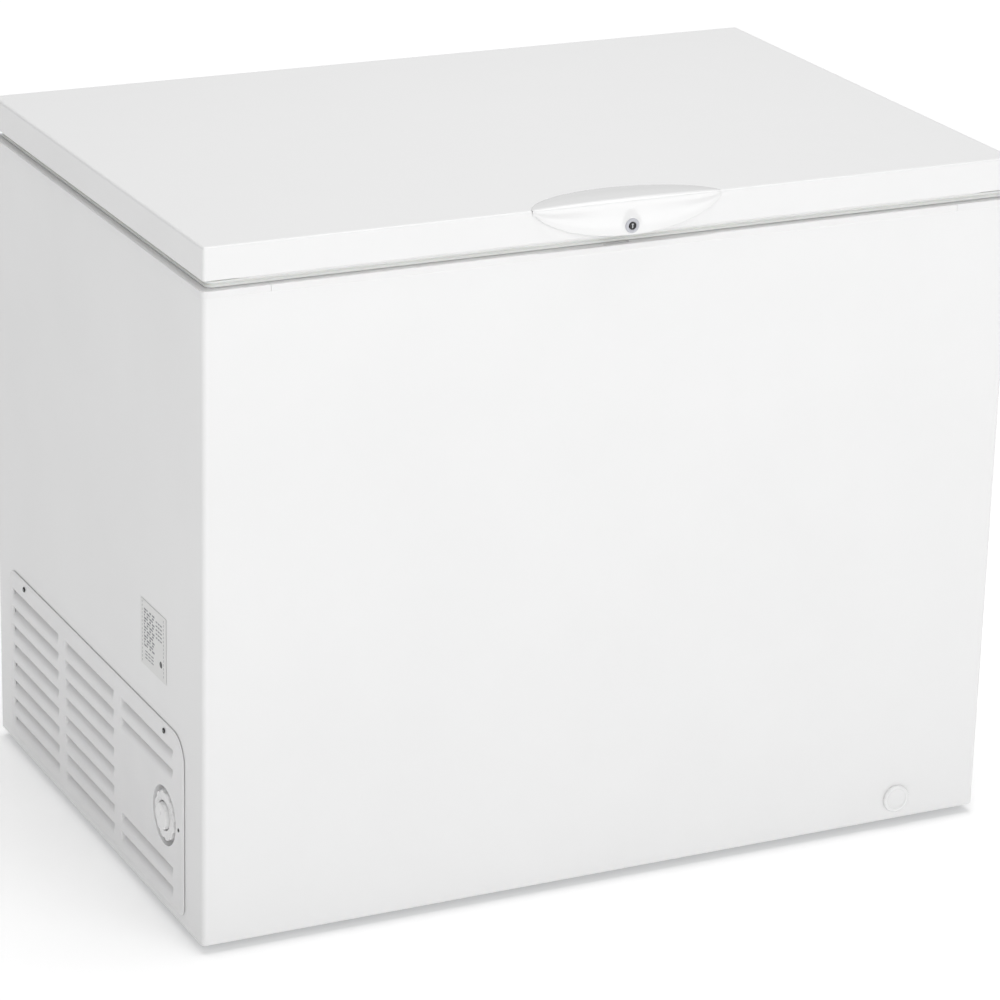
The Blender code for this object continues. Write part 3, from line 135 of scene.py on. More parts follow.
def buildPiece(name, patches, sharp=35, outward=None):
    # joins patches, merges the points they share and turns the faces outward; outward is a direction that
    # an open sheet's first face has to look along
    vertices, faces, start = [], [], 0
    for points, quads, ends in patches:
        vertices.append(points)
        faces += (quads + start).tolist() + [[start + i for i in end] for end in ends]
        start += len(points)
    mesh = bpy.data.meshes.new(name)
    mesh.from_pydata(np.concatenate(vertices).tolist(), [], faces)
    work = bmesh.new()
    work.from_mesh(mesh)
    bmesh.ops.remove_doubles(work, verts=work.verts, dist=2e-6)
    bmesh.ops.dissolve_degenerate(work, dist=1e-6, edges=work.edges)
    bmesh.ops.recalc_face_normals(work, faces=work.faces)
    if outward is not None:
        facing = sum((face.normal * face.calc_area() for face in work.faces), Vector())
        if facing.dot(Vector(outward)) < 0:
            bmesh.ops.reverse_faces(work, faces=work.faces)
    work.to_mesh(mesh)
    work.free()
    shadeEdges(mesh, sharp)
    return newObject(name, mesh)


def solidify(piece, thickness):
    # a wall behind the surface, or in front of it where thickness is negative
    wall = piece.modifiers.new("wall", "SOLIDIFY")
    wall.thickness = thickness
    wall.offset = -1
    return piece


def weightNormals(piece):
    # large flat faces keep their own normals, so that small arcs beside them don't shade across
    weighted = piece.modifiers.new("normals", "WEIGHTED_NORMAL")
    weighted.keep_sharp = True
    return piece


def finishPiece(piece, body, material, slot, *nodes):
    # its finish, the body it rides on and the nodes it stands in for; slot is not used
    piece.data.materials.clear()
    piece.data.materials.append(material)
    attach(piece, body)
    if nodes:
        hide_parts(*nodes)
    return piece


def turnedPoints(profile, centre, axis, steps=48):
    # (radius, height) pairs turned about axis through centre
    profile = np.asarray(profile, float)
    axis = np.array(axis, float)
    side = np.array([0, 0, 1.0]) if abs(axis[2]) < 0.5 else np.array([1.0, 0, 0])
    other = np.cross(axis, side)
    angle = np.linspace(0, 2 * math.pi, steps, endpoint=False)
    ring = np.cos(angle)[:, None] * side + np.sin(angle)[:, None] * other
    return np.array(centre) + profile[:, None, :1] * ring + profile[:, None, 1:] * axis


def tubePoints(path, radius, sides=8):
    # circles of radius across a path, carried along it with the least twist
    path = np.asarray(path, float)
    along = np.gradient(path, axis=0)
    along /= np.linalg.norm(along, axis=1, keepdims=True)
    side = np.cross(along, np.roll([0.0, 0.0, 1.0], 1) if abs(along[0, 2]) > 0.9 else [0.0, 0.0, 1.0])
    flat = np.linalg.norm(side, axis=1) < 1e-3
    side[flat] = side[~flat][0] if (~flat).any() else [1.0, 0, 0]
    side /= np.linalg.norm(side, axis=1, keepdims=True)
    other = np.cross(side, along)
    angle = np.linspace(0, 2 * math.pi, sides, endpoint=False)[:, None]
    return path[:, None] + radius * (np.cos(angle) * side[:, None] + np.sin(angle) * other[:, None])


def loopOf(points, rowA, rowB, columnA, columnB):
    # the border of a rectangular hole in a grid, in order
    return np.concatenate([points[rowA, columnA:columnB], points[rowA:rowB, columnB],
                           points[rowB, columnB:columnA:-1], points[rowB:rowA:-1, columnA]])


def roundHole(loop, centre, axisA, axisB, inward, profile):
    # joins a rectangular hole's border to circles round centre: profile holds (radius, depth) pairs
    centre, axisA, axisB, inward = (np.array(v, float) for v in (centre, axisA, axisB, inward))
    away = loop - centre
    angle = np.arctan2(away @ axisB, away @ axisA)
    ring = np.cos(angle)[:, None] * axisA + np.sin(angle)[:, None] * axisB
    profile = np.asarray(profile, float)
    circles = centre + profile[:, None, :1] * ring + profile[:, None, 1:] * inward
    return gridPatch(np.concatenate([loop[None], circles]), wrapColumns=True)


def ringLoft(centre, half, corner, profile, perCorner=9, frontX=()):
    # a profile of (inset, z) pairs carried round a rounded rectangle; frontX adds columns along its front
    rings = []
    for inset, z in profile:
        points, _ = roundedRect(half[0] - inset, half[1] - inset, max(corner - inset, 0.3 * mm), perCorner)
        points = points + centre[:2]
        if len(frontX):
            front = [(x, centre[1] - half[1] + inset) for x in frontX]
            points = np.insert(points, 3 * perCorner, front, axis=0)
        rings.append(np.column_stack([points, np.full(len(points), z)]))
    return np.array(rings)


def refined(node, name, radius, sharp=40, segments=3):
    # a merged copy of a node's mesh with its hard edges rounded
    work = bmesh.new()
    work.from_mesh(frame["nodes"][node].data)
    bmesh.ops.remove_doubles(work, verts=work.verts, dist=2e-6)
    bmesh.ops.dissolve_limit(work, angle_limit=math.radians(1), verts=work.verts, edges=work.edges)
    hard = [e for e in work.edges if e.is_manifold and e.calc_face_angle() > math.radians(sharp)]
    if hard and radius:
        bmesh.ops.bevel(work, geom=hard, offset=radius, segments=segments, profile=0.5, affect="EDGES",
                        clamp_overlap=True)
    wide = [face for face in work.faces if len(face.verts) > 4]
    bmesh.ops.triangulate(work, faces=wide, ngon_method="EAR_CLIP")
    mesh = bpy.data.meshes.new(name)
    work.to_mesh(mesh)
    work.free()
    shadeEdges(mesh, 35)
    return weightNormals(newObject(name, mesh))


# camera, floor and lights
view = {"at": (-2.2173, -4.5558, 2.25), "yaw": 26.2, "pitch": 20.2, "roll": 1.49, "lens": 149.2}
yaw, pitch, roll = (math.radians(view[key]) for key in ("yaw", "pitch", "roll"))
forward = Vector((math.sin(yaw) * math.cos(pitch), math.cos(yaw) * math.cos(pitch), -math.sin(pitch)))
right = Vector((math.cos(yaw), -math.sin(yaw), 0))
up = right.cross(forward)
right, up = math.cos(roll) * right + math.sin(roll) * up, math.cos(roll) * up - math.sin(roll) * right
camera = bpy.data.objects.new("camera", bpy.data.cameras.new("camera"))
camera.matrix_world = Matrix.Translation(view["at"]) @ Matrix((right, up, -forward)).transposed().to_4x4()
camera.data.lens = view["lens"]
camera.data.clip_end = 100
bpy.context.scene.collection.objects.link(camera)
bpy.context.scene.camera = camera
bpy.context.scene.view_settings.view_transform = "Standard"

studio = {"world": 0.34, "floor": "#f4f4f4", "floorHalf": 25, "glowFrom": 1.0, "glowTo": 4.0,
          "glowNear": 0.28, "glowFar": 0.62}
lights = {
    "key": {"at": (1.9, -4.4, 1.5), "aim": (0.1, 0, 0.45), "size": 2.6, "watts": 48},
    "top": {"at": (0.3, 0.2, 3.6), "aim": (0, 0, 0.5), "size": 3.4, "watts": 80},
    "left": {"at": (-1.9, -3.0, 2.2), "aim": (-0.5, -0.3, 0.8), "size": 1.6, "watts": 26},
}
for name, lamp in lights.items():
    light = bpy.data.lights.new(name, "AREA")
    light.size = lamp["size"]
    light.energy = lamp["watts"]
    holder = bpy.data.objects.new("light_" + name, light)
    holder.location = lamp["at"]
    holder.rotation_mode = "QUATERNION"
    holder.rotation_quaternion = (Vector(lamp["aim"]) - Vector(lamp["at"])).to_track_quat("-Z", "Y")
    bpy.context.scene.collection.objects.link(holder)

world = bpy.data.worlds.new("studio")
world.use_nodes = True
world.node_tree.nodes["Background"].inputs["Strength"].default_value = studio["world"]
world.node_tree.nodes["Background"].inputs["Color"].default_value = (1, 1, 1, 1)
bpy.context.scene.world = world


# finishes
def addNode(tree, kind, settings=(), links=()):
    # one node with its settings, and links of its sockets to (node, output) pairs
    node = tree.nodes.new(kind)
    for key, value in dict(settings).items():
        if isinstance(key, int) or key in node.inputs:
            node.inputs[key].default_value = value
        else:
            setattr(node, key, value)
    for key, (source, output) in dict(links).items():
        tree.links.new(source.outputs[output], node.inputs[key])
    return node


def makeFinish(name, look):
    # colour clouds, uneven gloss and two sizes of relief, each at its own size in millimetres
    material = bpy.data.materials.new(name)
    material.use_nodes = True
    tree = material.node_tree
    shader = tree.nodes["Principled BSDF"]
    for socket, value in look.get("shader", {}).items():
        shader.inputs[socket].default_value = value
    place = addNode(tree, "ShaderNodeTexCoord")
    clouds = addNode(tree, "ShaderNodeTexNoise",
                     {"Scale": 1000 / look["cloudMm"], "Detail": 3.0, "Roughness": 0.55},
                     {"Vector": (place, "Object")})
    tint = addNode(tree, "ShaderNodeMix",
                   {"data_type": "RGBA", 6: toLinear(look["base"]), 7: toLinear(look["shade"])},
                   {0: (clouds, "Fac")})
    tree.links.new(tint.outputs[2], shader.inputs["Base Color"])
    low, high = look["rough"]
    gloss = addNode(tree, "ShaderNodeMapRange", {"To Min": low, "To Max": high}, {"Value": (clouds, "Fac")})
    tree.links.new(gloss.outputs["Result"], shader.inputs["Roughness"])
    peel = addNode(tree, "ShaderNodeTexNoise", {"Scale": 1000 / look["peelMm"], "Detail": 1.0},
                   {"Vector": (place, "Object")})
    grain = addNode(tree, "ShaderNodeTexNoise", {"Scale": 1000 / look["grainMm"], "Detail": 2.0},
                    {"Vector": (place, "Object")})
    wave = addNode(tree, "ShaderNodeBump", {"Strength": 1.0, "Distance": look["peelDepth"] * mm},
                   {"Height": (peel, "Fac")})
    skin = addNode(tree, "ShaderNodeBump", {"Strength": 1.0, "Distance": look["grainDepth"] * mm},
                   {"Height": (grain, "Fac"), "Normal": (wave, "Normal")})
    tree.links.new(skin.outputs["Normal"], shader.inputs["Normal"])
    return material


# polyester powder on steel sheet: a bright white with a faint orange peel that breaks up reflections
powderEnamel = makeFinish("powder_coated_steel", {
    "base": "#e9e9e9", "shade": "#e5e5e5", "cloudMm": 180, "rough": (0.34, 0.42),
    "peelMm": 5.0, "peelDepth": 0.05, "grainMm": 1.6, "grainDepth": 0.015,
    "shader": {"IOR": 1.5}})
# moulded high-impact polystyrene: satin, a touch warmer, with slow flow clouds
satinStyrene = makeFinish("moulded_polystyrene", {
    "base": "#e9e8e8", "shade": "#e3e2e2", "cloudMm": 60, "rough": (0.38, 0.5),
    "peelMm": 9.0, "peelDepth": 0.04, "grainMm": 1.2, "grainDepth": 0.02,
    "shader": {"IOR": 1.55, "Subsurface Weight": 0.02}})
# polished ABS moulding: the glossiest white on the object
glossyAbs = makeFinish("polished_abs", {
    "base": "#e8e8e8", "shade": "#e4e4e4", "cloudMm": 70, "rough": (0.2, 0.28),
    "peelMm": 14.0, "peelDepth": 0.05, "grainMm": 2.0, "grainDepth": 0.004,
    "shader": {"IOR": 1.54, "Coat Weight": 0.3, "Coat Roughness": 0.08}})
# extruded soft vinyl of the seal: matt, slightly translucent
softVinyl = makeFinish("extruded_vinyl", {
    "base": "#efefed", "shade": "#e8e8e5", "cloudMm": 40, "rough": (0.5, 0.62),
    "peelMm": 6.0, "peelDepth": 0.05, "grainMm": 1.5, "grainDepth": 0.02,
    "shader": {"IOR": 1.53, "Subsurface Weight": 0.05}})
# lacquered aluminium with a stucco pattern rolled in: sparkling pebbles about 4 mm across
stuccoLiner = makeFinish("stucco_lacquered_aluminium", {
    "base": "#e6e8e8", "shade": "#dfe1e2", "cloudMm": 120, "rough": (0.26, 0.34),
    "peelMm": 4.5, "peelDepth": 0.5, "grainMm": 2.0, "grainDepth": 0.03,
    "shader": {"IOR": 1.5}})
# blown polyurethane: open honey-coloured cells
blownFoam = makeFinish("blown_polyurethane", {
    "base": "#dcc58c", "shade": "#c9ad6c", "cloudMm": 30, "rough": (0.85, 0.95),
    "peelMm": 4.0, "peelDepth": 0.8, "grainMm": 1.2, "grainDepth": 0.3})
# zinc-plated sheet: dull silver with a crystalline mottle
zincPlate = makeFinish("zinc_plated_sheet", {
    "base": "#b9bbbc", "shade": "#9b9ea1", "cloudMm": 8, "rough": (0.32, 0.5),
    "peelMm": 3.0, "peelDepth": 0.03, "grainMm": 0.8, "grainDepth": 0.01,
    "shader": {"Metallic": 1.0}})
# stoved black paint on the compressor: thick and slightly wavy
stovedBlack = makeFinish("stoved_black_paint", {
    "base": "#151516", "shade": "#1d1d1e", "cloudMm": 25, "rough": (0.3, 0.42),
    "peelMm": 3.5, "peelDepth": 0.12, "grainMm": 1.0, "grainDepth": 0.02,
    "shader": {"IOR": 1.5}})
# drawn copper tube: warm metal with brown oxide clouds
drawnCopper = makeFinish("drawn_copper", {
    "base": "#c9835f", "shade": "#9a5c40", "cloudMm": 14, "rough": (0.25, 0.45),
    "peelMm": 5.0, "peelDepth": 0.03, "grainMm": 0.8, "grainDepth": 0.01,
    "shader": {"Metallic": 1.0}})
# moulded black rubber: dusty matt
mouldedRubber = makeFinish("moulded_rubber", {
    "base": "#1f1f20", "shade": "#2c2b2a", "cloudMm": 12, "rough": (0.7, 0.85),
    "peelMm": 3.0, "peelDepth": 0.06, "grainMm": 0.9, "grainDepth": 0.03})
# glass-filled nylon, black: satin with a fine spark-eroded grain
blackNylon = makeFinish("black_nylon", {
    "base": "#101011", "shade": "#1a1a1b", "cloudMm": 9, "rough": (0.35, 0.5),
    "peelMm": 2.5, "peelDepth": 0.03, "grainMm": 0.7, "grainDepth": 0.02,
    "shader": {"IOR": 1.53}})
# grey acetal bezel: low sheen, mid grey
greyAcetal = makeFinish("grey_acetal", {
    "base": "#c2c3c9", "shade": "#b4b5bb", "cloudMm": 6, "rough": (0.28, 0.4),
    "peelMm": 2.0, "peelDepth": 0.02, "grainMm": 0.7, "grainDepth": 0.01,
    "shader": {"IOR": 1.48}})
# light epoxy-dipped wire of the basket: thick glossy white skin
dippedWire = makeFinish("epoxy_dipped_wire", {
    "base": "#eeeeec", "shade": "#e4e4e1", "cloudMm": 30, "rough": (0.22, 0.34),
    "peelMm": 7.0, "peelDepth": 0.08, "grainMm": 1.5, "grainDepth": 0.01,
    "shader": {"IOR": 1.55, "Coat Weight": 0.2}})
# painted studio floor: even, pale and matt
floorPaint = makeFinish("studio_floor_paint", {
    "base": studio["floor"], "shade": studio["floor"], "cloudMm": 900, "rough": (0.85, 0.9),
    "peelMm": 40, "peelDepth": 0.02, "grainMm": 6, "grainDepth": 0.01,
    "shader": {"Specular IOR Level": 0.0}})

floorEdge = np.array([-studio["floorHalf"], studio["floorHalf"]], float)
floorPoints = np.stack([*np.meshgrid(floorEdge, floorEdge, indexing="ij"), np.zeros((2, 2))], -1)
floor = buildPiece("studio_floor", [gridPatch(floorPoints)], outward=(0, 0, 1))
floor.data.materials.append(floorPaint)
# the floor glows a little, and more from one metre out to four, so that it stays white to the horizon
tree = floorPaint.node_tree
place = addNode(tree, "ShaderNodeTexCoord")
away = addNode(tree, "ShaderNodeVectorMath", {"operation": "LENGTH"}, {0: (place, "Object")})
glow = addNode(tree, "ShaderNodeMapRange",
               {"From Min": studio["glowFrom"], "From Max": studio["glowTo"], "To Min": studio["glowNear"],
                "To Max": studio["glowFar"]}, {"Value": (away, "Value")})
shader = tree.nodes["Principled BSDF"]
shader.inputs["Emission Color"].default_value = (1, 1, 1, 1)
tree.links.new(glow.outputs["Result"], shader.inputs["Emission Strength"])
print("studio and finishes: ready")


# lid skin
lidShape = {"corner": 3.5 * mm, "cornerSteps": 11, "edge": 4 * mm, "sheet": 0.8 * mm, "hem": 11 * mm,
            "hemRadius": 1.0 * mm, "hemDrop": 0.15 * mm, "capInset": 0.8, "camRoom": (1 * mm, 2 * mm)}
low, high = span("lid_skin")
lidCentre, lidHalf = (low + high) / 2, (high - low) / 2
lidTop, lidBottom, lidFront = high[2], low[2] - lidShape["hemDrop"], low[1]
far, sheet, hem = lidHalf[1] * lidShape["capInset"], lidShape["sheet"], lidShape["hem"]
outline = [(far, lidTop - sheet), (sheet, lidTop - sheet), (sheet, lidBottom + sheet),
           (hem, lidBottom + sheet), (hem, lidBottom), (0, lidBottom), (0, lidTop), (far, lidTop)]
radii = [0, lidShape["edge"] - sheet, 0.3 * mm, 0.2 * mm, 0.2 * mm, lidShape["hemRadius"], lidShape["edge"],
         0]
profile = softened(outline, radii, closed=False, steps=8)
# the hem is open where the lock's cam turns down through it
camLow, camHigh = span("lock_cam")
camSlot = (camLow[0] - lidShape["camRoom"][0], camHigh[0] + lidShape["camRoom"][1])
points = ringLoft(lidCentre, lidHalf, lidShape["corner"], profile, lidShape["cornerSteps"], camSlot)
slotColumn = 3 * lidShape["cornerSteps"]  # the front's points follow those of three corners
inHem = (profile[:, 1] < lidBottom + 1.01 * sheet) & (profile[:, 0] > sheet - 1e-6)
keep = np.ones((len(points) - 1, points.shape[1]), bool)
keep[inHem[:-1] & inHem[1:], slotColumn] = False
skin = buildPiece("lid_skin_sheet", [gridPatch(points, wrapColumns=True, caps=True, keep=keep)])
weightNormals(skin)
finishPiece(skin, "lid", powderEnamel, "enamel", "lid_skin")


# outer wrapper
wrapperShape = {"corner": 6 * mm, "sheet": 0.8 * mm, "drainSquare": 16 * mm, "drainBore": 11.3 * mm,
                "squarePoints": 7, "grilleCover": 16 * mm}
low, high = span("outer_wrapper")
bodyTop, bodyBottom = high[2], low[2]
plugLow, plugHigh = span("drain_plug")
drainCentre = (plugLow + plugHigh) / 2
grilleLow, grilleHigh = span("vent_grille")
cover, square, corner = (wrapperShape[key] for key in ("grilleCover", "drainSquare", "corner"))
squarePoints = wrapperShape["squarePoints"]
openY = (grilleLow[1] + cover, grilleHigh[1] - cover)
openZ = (grilleLow[2] + cover, grilleHigh[2] - 1.5 * cover)
arc = np.linspace(0, math.pi / 2, 9)[1:-1]
left = np.array([high[1], openY[1], openY[0], low[1] + corner])
squareX = np.linspace(drainCentre[0] - square, drainCentre[0] + square, squarePoints)
squareZ = np.linspace(drainCentre[2] - square, drainCentre[2] + square, squarePoints)
frontX = np.concatenate([[low[0] + corner], squareX, [high[0] - corner]])
plan = np.concatenate([
    np.column_stack([np.full(len(left), low[0]), left]),
    np.column_stack([low[0] + corner - corner * np.cos(arc), low[1] + corner - corner * np.sin(arc)]),
    np.column_stack([frontX, np.full(len(frontX), low[1])]),
    np.column_stack([high[0] - corner + corner * np.sin(arc), low[1] + corner - corner * np.cos(arc)]),
    [(high[0], low[1] + corner), (high[0], high[1])]])
rowsZ = np.unique(np.concatenate([[bodyBottom, bodyTop, *openZ], squareZ]).round(6))
points = np.concatenate([np.broadcast_to(plan, (len(rowsZ), *plan.shape)),
                         np.broadcast_to(rowsZ[:, None, None], (len(rowsZ), len(plan), 1))], -1)
middleZ = (rowsZ[1:] + rowsZ[:-1])[:, None] / 2
middleX, middleY = (plan[1:] + plan[:-1]).T / 2
inGrille = ((middleX < low[0] + 1e-6) & (middleY > openY[0]) & (middleY < openY[1])
            & (middleZ > openZ[0]) & (middleZ < openZ[1]))
inDrain = ((middleY < low[1] + 1e-6) & (abs(middleX - drainCentre[0]) < square)
           & (abs(middleZ - drainCentre[2]) < square))
rowA, rowB = (int(np.argmin(abs(rowsZ - drainCentre[2] - side * square))) for side in (-1, 1))
columnA = len(left) + len(arc) + 1
border = loopOf(points, rowA, rowB, columnA, columnA + squarePoints - 1)
drainBore = roundHole(border, (drainCentre[0], low[1], drainCentre[2]), (1, 0, 0), (0, 0, 1), (0, 1, 0),
                      [(wrapperShape["drainBore"], 0)])
wrapper = buildPiece("outer_wrapper_sheet", [gridPatch(points, keep=~(inGrille | inDrain)), drainBore],
                     outward=(0, -1, 0))
weightNormals(solidify(wrapper, wrapperShape["sheet"]))
finishPiece(wrapper, "cabinet", powderEnamel, "enamel", "outer_wrapper")
print("lid skin and wrapper: ready")


# vent grille
grilleShape = {"frontRadius": 35 * mm, "rearRadius": 22 * mm, "lowRadius": 14 * mm, "rollWidth": 6 * mm,
               "rollDepth": 1.2 * mm, "wall": 0.9 * mm, "louvreDepth": 6.5 * mm, "louvreDrop": 17 * mm,
               "louvreEnd": (10 * mm, 4 * mm), "louvreFront": 33.5 * mm, "louvreRear": 12.5 * mm,
               "louvreGap": 23 * mm, "slitDrop": 2.2 * mm, "pitch": 26 * mm, "rows": 8,
               "knobRows": (2, 3, 4, 5),
               "topEdge": 25.5 * mm, "dishSquare": 43 * mm, "dishRadius": 38 * mm, "dishDepth": 12 * mm,
               "gridStep": 4 * mm}
g = grilleShape
knobLow, knobHigh = span("thermostat_knob")
dish = ((knobLow + knobHigh) / 2)[1:]
face = grilleLow[0]
yLow, yHigh, zLow, zHigh = grilleLow[1], grilleHigh[1], grilleLow[2], grilleHigh[2]
# grid lines every few millimetres, and close together where the panel bends
edgeSteps = np.array([0, 0.25, 0.7, 1.4, 2.4, 3.6, 5.0, 6.2]) * mm
columnStart, columnEnd = yLow + g["louvreFront"], yHigh - g["louvreRear"]
columnLength = (columnEnd - columnStart - 2 * g["louvreGap"]) / 3
columns = [columnStart + k * (columnLength + g["louvreGap"]) for k in range(3)]
endSteps = np.linspace(-0.5, 11, 13) * mm
ends = np.concatenate([np.concatenate([y + endSteps, y + columnLength - endSteps]) for y in columns])
gridY = np.concatenate([np.arange(yLow + 10 * mm, yHigh - 8 * mm, g["gridStep"]), ends])
gridY = np.sort(gridY)
gridY = gridY[np.concatenate([[True], np.diff(gridY) > 0.45 * mm])]
gridY = np.concatenate([yLow + edgeSteps, gridY, yHigh - edgeSteps[::-1]])
rowEdges = zHigh - g["topEdge"] - g["pitch"] * np.arange(g["rows"])
downSteps = np.array([-0.8, -0.1, 0.1, 0.8, 2, 3.5, 5.2, 7, 9, 11, 13, 15, 16.3, 17.2]) * mm
gridZ = np.concatenate([zLow + edgeSteps, *[edge - downSteps for edge in rowEdges], zHigh - edgeSteps,
                        np.arange(zHigh - 24 * mm, zHigh - 7 * mm, g["gridStep"])])
gridZ = np.sort(gridZ[(gridZ >= zLow) & (gridZ <= zHigh)])
gridZ = gridZ[np.concatenate([[True], np.diff(gridZ) > 0.15 * mm])]


def edgeInset(z, upper):
    # how far a rounded corner of the panel draws its end in at height z
    high = np.clip(z - (zHigh - upper), 0, upper)
    low = np.clip(zLow + g["lowRadius"] - z, 0, g["lowRadius"])
    upperInset = upper - np.sqrt(upper ** 2 - high ** 2)
    lowerInset = g["lowRadius"] - np.sqrt(g["lowRadius"] ** 2 - low ** 2)
    return upperInset + lowerInset


def panelDepth(y, z):
    # depth behind the face: a rolled edge, and louvres that fall steeply at their top and ease out below
    halfY, halfZ = (yHigh - yLow) / 2, (zHigh - zLow) / 2
    fromY, fromZ = y - (yLow + yHigh) / 2, z - (zLow + zHigh) / 2
    radius = np.where(fromZ < 0, g["lowRadius"], np.where(fromY < 0, g["frontRadius"], g["rearRadius"]))
    overY, overZ = abs(fromY) - halfY + radius, abs(fromZ) - halfZ + radius
    outside = np.hypot(np.maximum(overY, 0), np.maximum(overZ, 0)) + np.minimum(np.maximum(overY, overZ), 0)
    edge = np.clip((radius - outside) / g["rollWidth"], 0, 1)
    depth = g["rollDepth"] * (1 - np.sqrt(1 - (1 - edge) ** 2))
    for column, start in enumerate(columns):
        across = (smoothStep((y - start) / g["louvreEnd"][0])
                  * smoothStep((start + columnLength - y) / g["louvreEnd"][1]))
        for row, top in enumerate(rowEdges):
            if column == 0 and row in g["knobRows"]:
                continue
            below = (top - z) / g["louvreDrop"]
            fall = 0.5 + 0.5 * np.cos(math.pi * np.clip(below, 0, 1) ** 0.9)
            depth = depth + g["louvreDepth"] * across * np.where((below > 0) & (below < 1), fall, 0)
    return depth


frontInset, rearInset = edgeInset(gridZ, g["frontRadius"]), edgeInset(gridZ, g["rearRadius"])
crowd = np.concatenate([edgeSteps, edgeSteps[-1] + 0.05 * mm * np.arange(1, len(gridY) - len(edgeSteps) + 1)])
y = np.broadcast_to(gridY, (len(gridZ), len(gridY)))
y = np.maximum(y, yLow + frontInset[:, None] + crowd)
y = np.minimum(y, yHigh - rearInset[:, None] - crowd[::-1])
z = np.broadcast_to(gridZ[:, None], y.shape)
depth = panelDepth(y, z)
points = np.stack([face + depth, y, z], -1)
drop = abs(np.diff(depth, axis=0))
# each louvre is open where the panel falls steeply at its top
slit = (np.maximum(drop[:, 1:], drop[:, :-1]) > g["slitDrop"]) & (np.diff(gridZ)[:, None] < 0.25 * mm)
rowA = int(np.searchsorted(gridZ, dish[1] - g["dishSquare"]))
rowB = int(np.searchsorted(gridZ, dish[1] + g["dishSquare"]))
columnA = int(np.searchsorted(gridY, dish[0] - g["dishSquare"]))
columnB = int(np.searchsorted(gridY, dish[0] + g["dishSquare"]))
slit[rowA:rowB, columnA:columnB] = True
border = loopOf(points, rowA, rowB, columnA, columnB)
dishRadius, dishDepth = g["dishRadius"], g["dishDepth"]
dishLip = softened([(dishRadius + 1.2 * mm, 0), (dishRadius, 0), (dishRadius - 0.6 * mm, dishDepth),
                    (0.3 * mm, dishDepth)], [0, 0.5 * mm, 2 * mm, 0], closed=False, steps=7)
dishCup = roundHole(border, (face, *dish), (0, 1, 0), (0, 0, 1), (1, 0, 0), dishLip)
grille = buildPiece("vent_grille_panel", [gridPatch(points, keep=~slit), dishCup], sharp=50,
                    outward=(-1, 0, 0))
solidify(grille, g["wall"])
finishPiece(grille, "cabinet", satinStyrene, "grille_plastic", "vent_grille")
print("grille: ready,", len(grille.data.polygons), "faces")


# thermostat knob, light and screws
knobShape = {"lobes": 12, "lobeDepth": 2.6 * mm, "ribs": 60, "ribDepth": 0.35 * mm, "hub": 17 * mm,
             "gap": 2.6 * mm, "gapDepth": 6.0 * mm, "proud": 4.7 * mm, "edge": 1.6 * mm,
             "slot": (9 * mm, 1.6 * mm, 0.9 * mm)}
k = knobShape
knobRadius = (knobHigh[2] - knobLow[2]) / 2
knobBack, knobFront = knobHigh[0], knobLow[0]
skirtTop = knobBack - knobFront - k["proud"]
angle = np.linspace(0, 2 * math.pi, 361)[:-1]
rim = knobRadius - k["lobeDepth"] * (0.5 + 0.5 * np.cos(k["lobes"] * angle)) ** 2
share = np.concatenate([1 - np.geomspace(0.001, 0.12, 12), np.linspace(0.87, 0.66, 12),
                        (k["hub"] + k["gap"] * np.array([1.3, 1.1, 1.0, 0.9, 0.5, 0.1, 0.0])) / knobRadius])
share = np.concatenate([share, (k["hub"] - np.array([0.1, 0.4, 0.9, 1.6, 2.6]) * mm) / knobRadius,
                        np.linspace(0.44, 0.01, 40)])
share = np.sort(share)[::-1]
radius = share[:, None] * (rim + (knobRadius - rim) * smoothStep((0.95 - share[:, None]) / 0.3))
fromEdge = (1 - share[:, None]) * knobRadius
rounding = k["edge"] - np.sqrt(np.clip(k["edge"] ** 2 - np.clip(k["edge"] - fromEdge, 0, None) ** 2, 0, None))
flat = smoothStep((radius - k["hub"] - k["gap"]) / (1.2 * mm)) * smoothStep((knobRadius - radius) / (4 * mm))
ribs = k["ribDepth"] * flat * (0.5 + 0.5 * np.cos(k["ribs"] * angle))
height = skirtTop - rounding - ribs
groove = (radius < k["hub"] + k["gap"]) & (radius > k["hub"] + 0.01 * mm)
height = np.where(groove, skirtTop - k["gapDepth"], height)
fromHub = np.clip(k["hub"] - radius, 0, None)
dome = skirtTop + k["proud"] - (1 - np.clip(fromHub / (1.4 * mm), 0, 1)) ** 2 * 1.4 * mm
height = np.where(radius <= k["hub"] + 0.01 * mm, dome, height)
across, along = radius * np.cos(angle), radius * np.sin(angle)
slotLength, slotWidth, slotDepth = k["slot"]
slotSides = 1 - smoothStep((abs(across) - slotWidth / 2) / (0.5 * mm))
slotEnds = smoothStep((along - 2 * mm) / (0.6 * mm)) * (1 - smoothStep((along - slotLength) / (0.6 * mm)))
height = height - slotDepth * (slotSides * slotEnds)
top = np.stack([knobBack - height, dish[0] + across, dish[1] + along], -1)
foot = np.stack([np.full(len(angle), knobBack), dish[0] + rim * np.cos(angle), dish[1] + rim * np.sin(angle)],
                -1)
wall = foot + np.linspace(0, 1, 6)[:-1, None, None] * (top[0] - foot)
knobPiece = buildPiece("thermostat_knob_cap", [cappedRings(np.concatenate([wall, top]))], sharp=50)
finishPiece(knobPiece, "knob", glossyAbs, "white_plastic", "thermostat_knob")


def buildTurned(name, node, axis, profile, body, material, slot, steps=48):
    # a turned piece in a node's place: profile holds (share of its radius, millimetres behind its front)
    low, high = span(node)
    axis = np.array(axis, float)
    middle, half = (low + high) / 2, (high - low) / 2
    reach = half[np.argmin(abs(axis))]
    front = middle + axis * half
    shaped = [(share * reach, -back * mm) for share, back in profile]
    piece = buildPiece(name, [cappedRings(turnedPoints(shaped, front, axis, steps))])
    return finishPiece(piece, body, material, slot, node)


